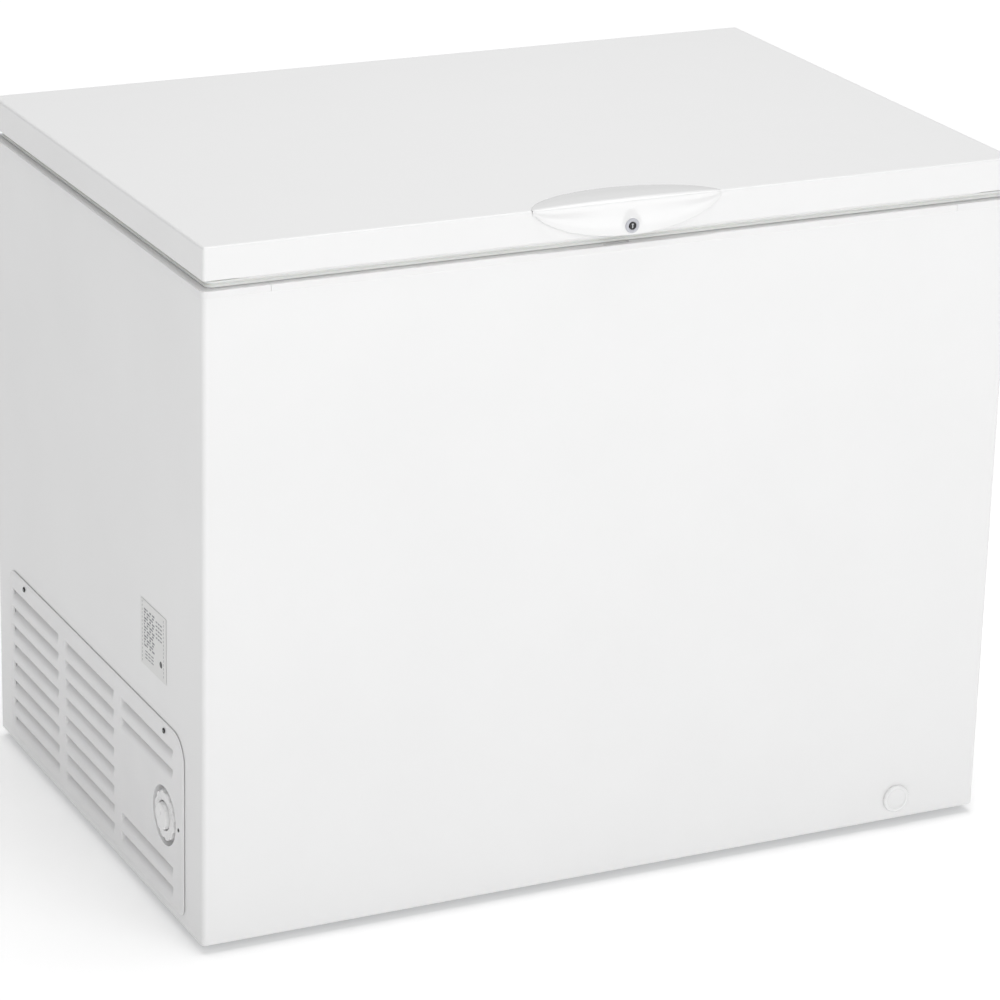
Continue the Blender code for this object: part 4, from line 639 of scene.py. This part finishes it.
# an oval-headed screw with a dished middle
screwProfile = [(0.45, 3.5), (0.45, 1.6), (0.98, 1.4), (1.0, 1.1), (0.93, 0.6), (0.72, 0.15), (0.55, 0.0),
                (0.4, 0.25), (0.3, 0.7), (0.05, 0.8)]
socketProfile = np.array([(1.5, -2), (1.5, -0.35), (1.1, -0.2), (0.1, -0.2)]) * mm
for word in ("front", "rear"):
    buildTurned("grille_screw_head_" + word, "grille_screw_" + word, (-1, 0, 0), screwProfile, "cabinet",
                stovedBlack, "black_steel", 32)
    low, high = span("grille_screw_" + word)
    recess = turnedPoints(socketProfile, (low[0], *((low + high) / 2)[1:]), (-1, 0, 0), 24)
    recess = buildPiece("grille_screw_socket_" + word, [cappedRings(recess)])
    finishPiece(recess, "cabinet", zincPlate, "zinc")
# the light is a small domed dark lens
lensProfile = [(0.9, 2.3), (1.0, 1.2), (1.0, 0.7), (0.85, 0.3), (0.5, 0.06), (0.05, 0.0)]
buildTurned("power_light_lens", "power_light", (-1, 0, 0), lensProfile, "cabinet", blackNylon, "dark_plastic",
            24)
# drain plug: a flat cap with a rolled edge and a dished middle, on a neck
plugProfile = [(0.6, 15.9), (0.64, 15.2), (0.64, 4.4), (0.97, 4.1), (1.0, 3.5), (1.0, 1.6), (0.97, 0.7),
               (0.91, 0.2), (0.85, 0.0), (0.78, 0.0), (0.74, 0.3), (0.71, 1.0), (0.68, 1.25), (0.05, 1.3)]
buildTurned("drain_plug_cap", "drain_plug", (0, -1, 0), plugProfile, "front_plug", glossyAbs, "white_plastic",
            64)
print("knob, light, screws and drain plug: ready")


# rating label
labelShape = {"sheet": 0.05 * mm, "dot": 4.2 * mm, "dotPlace": (0.2, 0.24)}
low, high = span("rating_label")
film = refined("rating_label", "rating_label_film", 0)
# printed polyester film: satin white
printedFilm = makeFinish("polyester_film", {
    "base": "#dcdcdb", "shade": "#d8d8d7", "cloudMm": 30, "rough": (0.3, 0.4),
    "peelMm": 8.0, "peelDepth": 0.02, "grainMm": 1.0, "grainDepth": 0.004,
    "shader": {"IOR": 1.55}})
# printing ink, grey and black: flat and smooth
printingInk = makeFinish("printing_ink", {
    "base": "#8a8c90", "shade": "#7f8185", "cloudMm": 5, "rough": (0.4, 0.5),
    "peelMm": 3.0, "peelDepth": 0.01, "grainMm": 0.8, "grainDepth": 0.004})
blackInk = makeFinish("black_ink", {
    "base": "#2a2a2c", "shade": "#333335", "cloudMm": 5, "rough": (0.35, 0.45),
    "peelMm": 3.0, "peelDepth": 0.01, "grainMm": 0.8, "grainDepth": 0.004})
finishPiece(film, "cabinet", printedFilm, "label", "rating_label")
wide, tall = high[1] - low[1], high[2] - low[2]
# blank fields only: (from the rear edge, from the top, width, height) as shares of the film
fields = [(0.06, 0.03 + 0.06 * row, 0.01, 0.035) for row in range(16)]
fields += [(0.9, 0.05 + 0.06 * row, 0.01, 0.035) for row in range(15)]
fields += [(0.14 + 0.105 * column, 0.12 + 0.046 * row, 0.092 - 0.03 * ((row + 2 * column) % 3), 0.026)
           for row in range(13) for column in range(4)]
fields += [(0.6 + 0.085 * column, 0.16 + 0.06 * row, 0.065, 0.02) for row in range(5) for column in range(3)]
fields += [(0.18 + 0.12 * column, 0.76 + 0.05 * row, 0.09, 0.016) for row in range(3) for column in range(3)]


def printFields(name, fields, ink):
    # thin rectangles of ink on the film
    patches = []
    for start, down, width, height in fields:
        y = high[1] - start * wide - np.array([0, width * wide])
        z = high[2] - down * tall - np.array([0, height * tall])
        corners = np.stack([np.full((2, 2), low[0]), *np.meshgrid(y, z, indexing="ij")], -1)
        patches.append(gridPatch(corners))
    piece = solidify(buildPiece(name, patches, outward=(-1, 0, 0)), -labelShape["sheet"])
    return finishPiece(piece, "cabinet", ink, "label")


printFields("label_ruling", fields, printingInk)
dot, ink = labelShape["dot"], labelShape["sheet"]
dotCentre = (low[0], low[1] + labelShape["dotPlace"][0] * wide, low[2] + labelShape["dotPlace"][1] * tall)
blob = turnedPoints([(dot, 0), (dot, ink), (0.1 * mm, ink)], dotCentre, (-1, 0, 0), 40)
finishPiece(buildPiece("label_dot", [cappedRings(blob)]), "cabinet", blackInk, "label")
print("label: ready")


# rim
rimShape = {"round": 1.2 * mm, "edge": 0.9 * mm, "notch": 0.9 * mm, "notchHalf": 122 * mm, "step": 2 * mm,
            "plate": 2 * mm, "wall": 1.5 * mm, "pad": 10.5 * mm, "camGap": 0.4 * mm, "camStart": 6 * mm}
low, high = span("rim_front")
stations = np.arange(low[0], high[0] + rimShape["step"], rimShape["step"]).clip(None, high[0])
handleLow, handleHigh = span("lid_handle")
handleX = (handleLow[0] + handleHigh[0]) / 2
dip = rimShape["notch"] * smoothStep((rimShape["notchHalf"] - abs(stations - handleX)) / (6 * mm))
# a slot lets the lock's cam down through the strip
camFront, camBack = camLow[1] - rimShape["camGap"], camHigh[1] + rimShape["camGap"]
inSlot = (stations > camSlot[0] + rimShape["camStart"]) & (stations < camSlot[1])
front, back, bottom, top = low[1], high[1], low[2], high[2]
wallFront, padBack, under = back - rimShape["wall"], front + rimShape["pad"], top - rimShape["plate"]
outline = np.array([(front, top), (camFront, top), (camFront + 0.01 * mm, top), (camBack - 0.01 * mm, top),
                    (camBack, top), (back, top), (back, bottom), (wallFront, bottom), (wallFront, under),
                    (padBack, under), (padBack, bodyTop), (front, bodyTop)])
section = np.broadcast_to(outline, (len(stations), *outline.shape)).copy()
section[:, 0, 1] -= dip
section[inSlot, 2:4, 1] = bodyTop + 0.1 * mm
corner = np.array([rimShape["round"], 0, 0, 0, 0, 1.5 * mm, 0.4 * mm, 0.4 * mm, 0.5 * mm, 0.5 * mm, 0.3 * mm,
                   rimShape["round"] * 0.6])
section = softened(section, np.broadcast_to(corner, section.shape[:2]), steps=5)
points = np.concatenate([np.broadcast_to(stations[:, None, None], (*section.shape[:2], 1)), section], -1)
rimPiece = buildPiece("rim_front_strip", [cappedRings(points)])
finishPiece(weightNormals(rimPiece), "cabinet", satinStyrene, "white_plastic", "rim_front")
for word in ("back", "left", "right", "corner_front_left", "corner_front_right", "corner_back_left",
             "corner_back_right"):
    piece = refined("rim_" + word, f"rim_{word}_strip", rimShape["edge"])
    finishPiece(piece, "cabinet", satinStyrene, "white_plastic", "rim_" + word)
# a curved skirt closes each front corner below the corner piece's plate
cornerSkirt = {"radius": wrapperShape["corner"] + 1.8 * mm, "wall": 1.5 * mm, "run": 8 * mm,
               "under": 1.0 * mm}
for side, word in ((-1, "left"), (1, "right")):
    low, high = span("rim_corner_front_" + word)
    turn = np.linspace(0, math.pi / 2, 9)
    normal = np.column_stack([side * np.cos(turn), -np.sin(turn)])
    normal = np.concatenate([normal[:1], normal, normal[-1:]])
    slide = np.zeros((len(normal), 2))
    slide[0], slide[-1] = (0, cornerSkirt["run"]), (-side * cornerSkirt["run"], 0)
    outerX = low[0] if side < 0 else high[0]
    middle = np.array([outerX - side * cornerSkirt["radius"], low[1] + cornerSkirt["radius"]])
    outer, inner = cornerSkirt["radius"] - 0.05 * mm, cornerSkirt["radius"] - cornerSkirt["wall"]
    skirtTop = high[2] - cornerSkirt["under"]
    rows = [(outer, low[2]), (outer, skirtTop), (inner, skirtTop), (inner, low[2])]
    lines = [np.column_stack([middle + slide + r * normal, np.full(len(normal), z)]) for r, z in rows]
    skirt = buildPiece(f"rim_corner_skirt_{word}", [cappedRings(np.stack(lines, 1))])
    finishPiece(skirt, "cabinet", satinStyrene, "white_plastic")
print("rim: ready")


# lid gasket and lid liner
gasketShape = {"width": 16 * mm, "corner": 10 * mm, "shoulder": 2.4 * mm, "waist": 3.8 * mm, "foot": 2.6 * mm,
               "fold": 3.6 * mm, "bend": 1.1 * mm}
low, high = span("lid_gasket")
middle, half = (low + high) / 2, (high - low) / 2
bottom, top, width, fold = low[2], high[2], gasketShape["width"], gasketShape["fold"]
shoulder, waist = top - gasketShape["shoulder"], top - gasketShape["waist"]
foot = bottom + gasketShape["foot"]
bellows = softened([(0.4 * mm, top), (width - 0.4 * mm, top), (width, shoulder), (width - fold, waist),
                    (width, foot), (width - 0.6 * mm, bottom), (0.6 * mm, bottom), (0, foot), (fold, waist),
                    (0, shoulder)], gasketShape["bend"], steps=5)
seal = gridPatch(ringLoft(middle, half, gasketShape["corner"], bellows), wrapRows=True, wrapColumns=True)
seal = buildPiece("lid_gasket_bellows", [seal])
finishPiece(weightNormals(seal), "lid", softVinyl, "vinyl", "lid_gasket")

# a flange, a plug that hangs into the cabinet's mouth, and two shallow fields pressed up into the plug's face
linerShape = {"corner": 60 * mm, "flange": 2.5 * mm, "plug": 84 * mm, "relief": 1.8 * mm,
              "steps": np.array([3, 26, 29, 50, 53, 58, 61, 90]) * mm,
              "bends": np.array([0, 0.8, 5, 6, 2, 2, 2, 2, 2, 2, 0]) * mm}
low, high = span("lid_liner")
middle, half = (low + high) / 2, (high - low) / 2
flange, bottom, plug = high[2] - linerShape["flange"], low[2], linerShape["plug"]
raised = bottom + linerShape["relief"]
heights = [bottom, bottom, raised, raised, bottom, bottom, raised, raised]
pressed = zip(plug + linerShape["steps"], heights)
relief = softened([(0.5 * mm, high[2]), (0, flange), (plug, flange), *pressed], linerShape["bends"],
                  closed=False, steps=7)
panel = ringLoft(middle, half, linerShape["corner"], relief)
panel = buildPiece("lid_liner_panel", [cappedRings(panel)])
finishPiece(weightNormals(panel), "lid", satinStyrene, "white_plastic", "lid_liner")
print("gasket and lid liner: ready")


# lid handle
handleShape = {"stations": 181, "lip": 3.0 * mm, "pocket": 14 * mm, "pocketHalf": 0.62, "padIn": 9.6 * mm,
               "padOut": 14 * mm, "proud": 13 * mm, "proudTop": 5.5 * mm, "gap": 0.3 * mm, "boss": 9.2 * mm}
h = handleShape
u = -np.cos(np.linspace(0, math.pi, h["stations"]))[:, None]
halfLength = (handleHigh[0] - handleLow[0]) / 2
full = np.clip(1 - u * u, 0.02, 1)
swell = full ** 0.6
reach = (handleHigh[1] - lidFront) * swell
drop = np.maximum((lidTop - handleLow[2]) * swell, 6 * mm)
rise = (handleHigh[2] - lidTop) * full ** 0.5
proudTop, proud = h["proudTop"] * full ** 0.5, h["proud"] * full ** 0.5
lip = np.minimum(h["lip"], proud * 0.3)
pocket = np.clip(h["pocket"] * (1 - (u / h["pocketHalf"]) ** 2), 0.6 * mm, None)
pocket = np.minimum(pocket, drop * 0.5)
y, z, gap = lidFront, lidTop, h["gap"]
corners = [(reach, gap), (-gap + 0 * u, gap), (-gap + 0 * u, -drop), (-gap - lip * 0.5, -drop),
           (-gap - lip * 0.5, pocket - drop), (lip - proud, pocket - drop), (lip - proud, -drop),
           (-proud, -drop), (-proud * 0.93, -drop * 0.55), (-proudTop, -np.minimum(4.5 * mm, drop * 0.3)),
           (-proudTop * 0.75, rise * 0.35), (2.5 * mm, rise), (reach * 0.45, rise * 0.92),
           (reach * 0.88, gap + rise * 0.4)]
section = np.stack([np.concatenate([a + 0 * u for a, _ in corners], 1) + y,
                    np.concatenate([b + 0 * u for _, b in corners], 1) + z], -1)
soft = np.array([0.3, 0.2, 0.2, 0.2, 1.0, 1.0, 0.8, 1.2, 9.0, 4.0, 2.2, 2.5, 9.0, 2.5]) * mm
section = softened(section, np.broadcast_to(soft, section.shape[:2]), steps=7)
x = handleX + u * halfLength
lockLow, lockHigh = span("lock_barrel")
lockCentre = (lockLow + lockHigh) / 2
grid = np.concatenate([np.broadcast_to(x[:, None], (*section.shape[:2], 1)), section], -1)
# the outside is pressed flat round the lock and eases back over a few millimetres
fromLock = np.hypot(grid[..., 0] - lockCentre[0], grid[..., 2] - lockCentre[2])
flat = 1 - smoothStep((fromLock - h["padIn"]) / (h["padOut"] - h["padIn"]))
outside = grid[..., 1] < y - h["proudTop"] * 0.8
pressed = grid[..., 1] * (1 - flat) + (y - h["proud"] + 0.15 * mm) * flat
grid[..., 1] = np.maximum(np.where(outside, pressed, grid[..., 1]), handleLow[1])
handle = buildPiece("lid_handle_moulding", [cappedRings(grid)], sharp=50)
boss = turnedPoints([(h["boss"], 0), (h["boss"], h["proud"] - h["lip"])],
                    (lockCentre[0], y - h["proud"] + 0.2 * mm, lockCentre[2]), (0, 1, 0), 48)
bossPiece = buildPiece("lid_handle_lock_boss", [cappedRings(boss)])
finishPiece(handle, "lid", glossyAbs, "white_plastic", "lid_handle")
finishPiece(bossPiece, "lid", glossyAbs, "white_plastic", "lid_handle")

lockShape = {"bore": 5.0 * mm, "chamfer": (0.8 * mm, 0.5 * mm), "rim": (1.4 * mm, 0.9 * mm), "bend": 0.4 * mm,
             "keyway": (0.3 * mm, 1.2 * mm)}
bezelLow, bezelHigh = span("lock_bezel")
bezelRadius, bezelDepth = (bezelHigh[2] - bezelLow[2]) / 2, bezelHigh[1] - bezelLow[1]
bore, chamfer, edge = lockShape["bore"], lockShape["chamfer"], lockShape["rim"]
bezelProfile = softened([(bore, bezelDepth), (bore, chamfer[1]), (bore + chamfer[0], 0),
                         (bezelRadius - edge[0], 0), (bezelRadius, edge[1]), (bezelRadius, bezelDepth)],
                        lockShape["bend"], steps=4)
bezel = turnedPoints(bezelProfile, (lockCentre[0], bezelLow[1], lockCentre[2]), (0, 1, 0), 64)
bezel = buildPiece("lock_bezel_ring", [gridPatch(bezel, wrapRows=True, wrapColumns=True)])
finishPiece(bezel, "lid", greyAcetal, "grey_plastic", "lock_bezel")
barrelProfile = [(0.98, 15.5), (0.98, 0.5), (0.93, 0.1), (0.88, 0.0), (0.8, 0.0), (0.76, 0.35), (0.05, 0.4)]
buildTurned("lock_barrel_core", "lock_barrel", (0, -1, 0), barrelProfile, "lock", blackNylon, "dark_plastic")
keyway = np.array([(-0.6, -2.9), (0.6, -2.9), (0.6, 1.0), (1.3, 1.6), (1.3, 2.6), (-1.3, 2.6), (-1.3, 1.6),
                   (-0.6, 1.0)])
keyway = softened(keyway * mm, lockShape["bend"], steps=4)
rings = np.stack([np.column_stack([lockCentre[0] + keyway[:, 0], np.full(len(keyway), lockLow[1] + depth),
                                   lockCentre[2] + keyway[:, 1]]) for depth in lockShape["keyway"]])
keywayPiece = buildPiece("lock_keyway", [cappedRings(rings)])
finishPiece(keywayPiece, "lock", zincPlate, "zinc")
print("handle and lock: ready")


# wire basket
basketShape = {"height": 200 * mm, "halfLength": 290.7 * mm, "rim": 2.6 * mm, "wire": 1.5 * mm,
               "corner": 24 * mm, "spacing": 26 * mm, "bottomBend": 14 * mm, "belts": (60 * mm, 120 * mm),
               "hookWire": 2.0 * mm, "hookIn": 8 * mm, "hookBend": 6 * mm}
b = basketShape
low, high = span("wire_basket")
hookBottom = low[2] + b["height"]
sideY = (low[1] + high[1]) / 2
halfX, halfY = (high[0] - low[0]) / 2, b["halfLength"]
middle = np.array([(low[0] + high[0]) / 2, sideY])


def loopWire(inset, z, wire):
    # a level wire round the basket: circles of radius wire across a rounded rectangle
    points, _ = roundedRect(halfX - inset, halfY - inset, max(b["corner"] - inset, 4 * mm), 12)
    points = np.column_stack([points + middle, np.full(len(points), z)])
    along = np.roll(points, -1, 0) - np.roll(points, 1, 0)
    along /= np.linalg.norm(along, axis=1, keepdims=True)
    side = np.cross(along, [0, 0, 1.0])
    angle = np.linspace(0, 2 * math.pi, 10, endpoint=False)[:, None]
    rings = points[:, None] + wire * (np.cos(angle) * side[:, None] + np.sin(angle) * np.array([0, 0, 1.0]))
    return gridPatch(rings, wrapRows=True, wrapColumns=True)


def bentWire(corners, wire, bend, sides=8):
    # a wire through corners, each bent over a length of bend
    path = softened(np.array(corners, float), bend, closed=False, steps=6)
    path = path[np.concatenate([[True], np.linalg.norm(np.diff(path, axis=0), axis=1) > 0.2 * mm])]
    return cappedRings(tubePoints(path, wire, sides))


patches = [loopWire(b["rim"], hookBottom - b["rim"], b["rim"])]
patches += [loopWire(b["rim"] + b["wire"], hookBottom - drop, b["wire"]) for drop in b["belts"]]
inset, floorZ = b["rim"] + b["wire"] * 0.2, low[2] + b["wire"]
upper = hookBottom - b["rim"]
countX = int((2 * halfX - 2 * b["corner"]) / b["spacing"])
for x in np.linspace(low[0] + b["corner"], high[0] - b["corner"], countX + 1):
    y = halfY - inset
    patches.append(bentWire([(x, sideY - y, upper), (x, sideY - y, floorZ), (x, sideY + y, floorZ),
                             (x, sideY + y, upper)], b["wire"], b["bottomBend"]))
countY = int((2 * halfY - 2 * b["corner"]) / b["spacing"])
for y in np.linspace(sideY - halfY + b["corner"], sideY + halfY - b["corner"], countY + 1):
    left, right, lower = middle[0] - halfX + inset, middle[0] + halfX - inset, floorZ + 2 * b["wire"]
    patches.append(bentWire([(left, y, upper), (left, y, lower), (right, y, lower), (right, y, upper)],
                            b["wire"], b["bottomBend"]))
for side in (-1, 1):
    end = low[1] if side < 0 else high[1]
    wall = sideY + side * (halfY - b["hookWire"])
    for x in (middle[0] - halfX / 2 + b["hookIn"], middle[0] + halfX / 2 - b["hookIn"]):
        hookTop = high[2] - b["hookWire"]
        patches.append(bentWire([(x, wall, upper), (x, wall, hookTop), (x, end, hookTop)],
                                b["hookWire"], b["hookBend"], 10))
basket = buildPiece("wire_basket_frame", patches, sharp=60)
finishPiece(basket, "basket", dippedWire, "enamel", "wire_basket")
print("basket: ready,", len(basket.data.polygons), "faces")


# the pieces that keep their cut shape
# the finish of each slot, and the radius in millimetres to which a node's hard edges are rounded
slotFinish = {"enamel": powderEnamel, "white_plastic": satinStyrene, "grille_plastic": satinStyrene,
              "grey_plastic": greyAcetal, "dark_plastic": blackNylon, "vinyl": softVinyl, "foam": blownFoam,
              "liner": stuccoLiner, "zinc": zincPlate, "black_steel": stovedBlack, "copper": drawnCopper,
              "black_rubber": mouldedRubber, "label": printedFilm}
edgeMm = {"base_pan": 0.2, "back_panel": 0.2, "cord_inlet_bushing": 0.5, "compressor": 1.5,
          "relay_cover": 2.0, "compressor_plate": 0.5, "hinge_base_left": 0.5, "hinge_base_right": 0.5,
          "hinge_arm_left": 0.5, "hinge_arm_right": 0.5, "lock_cam": 0.3, "inner_drain_plug": 0.8,
          "line_seal": 0.6, "thermostat_body": 1.0, "foot_front_left": 0.8, "foot_front_right": 0.8,
          "foot_back_left": 0.8, "foot_back_right": 0.8, "hinge_pin_left": 0.4, "hinge_pin_right": 0.4,
          "inner_liner": 0.0}
# the hinge screws stand at two shares of the bracket's height, with their seats proud of the back panel
screwShape = {"radius": 4.2 * mm, "height": 1.6 * mm, "shares": (0.16, 0.52), "seat": 1.9 * mm}
for word in ("left", "right"):
    low, high = span("hinge_base_" + word)
    plateY = span("back_panel")[1][1]
    patches = []
    for share in screwShape["shares"]:
        centre = ((low[0] + high[0]) / 2, plateY + screwShape["seat"], low[2] + share * (high[2] - low[2]))
        r, tall = screwShape["radius"], screwShape["height"]
        head = turnedPoints([(r * 0.4, -1.5 * mm), (r, 0), (r, tall * 0.35), (r * 0.8, tall * 0.85),
                             (r * 0.4, tall), (r * 0.35, tall * 0.4), (0.1 * mm, tall * 0.4)],
                            centre, (0, 1, 0), 24)
        patches.append(cappedRings(head))
    finishPiece(buildPiece("hinge_screws_" + word, patches), "cabinet", zincPlate, "zinc")
bodyOf = {node: body for body, nodes in frame["record"]["behaviour"]["bodies"].items() for node in nodes}
slotOf = {piece["node"]: piece["material_slot"] for piece in frame["record"]["subparts"]}
for node, edge in edgeMm.items():
    piece = refined(node, node + "_shape", edge * mm)
    finishPiece(piece, bodyOf[node], slotFinish[slotOf[node]], slotOf[node], node)
for node, item in frame["nodes"].items():
    for kept in item.material_slots:
        kept.material = slotFinish[slotOf[node]]
print("carried pieces: ready")
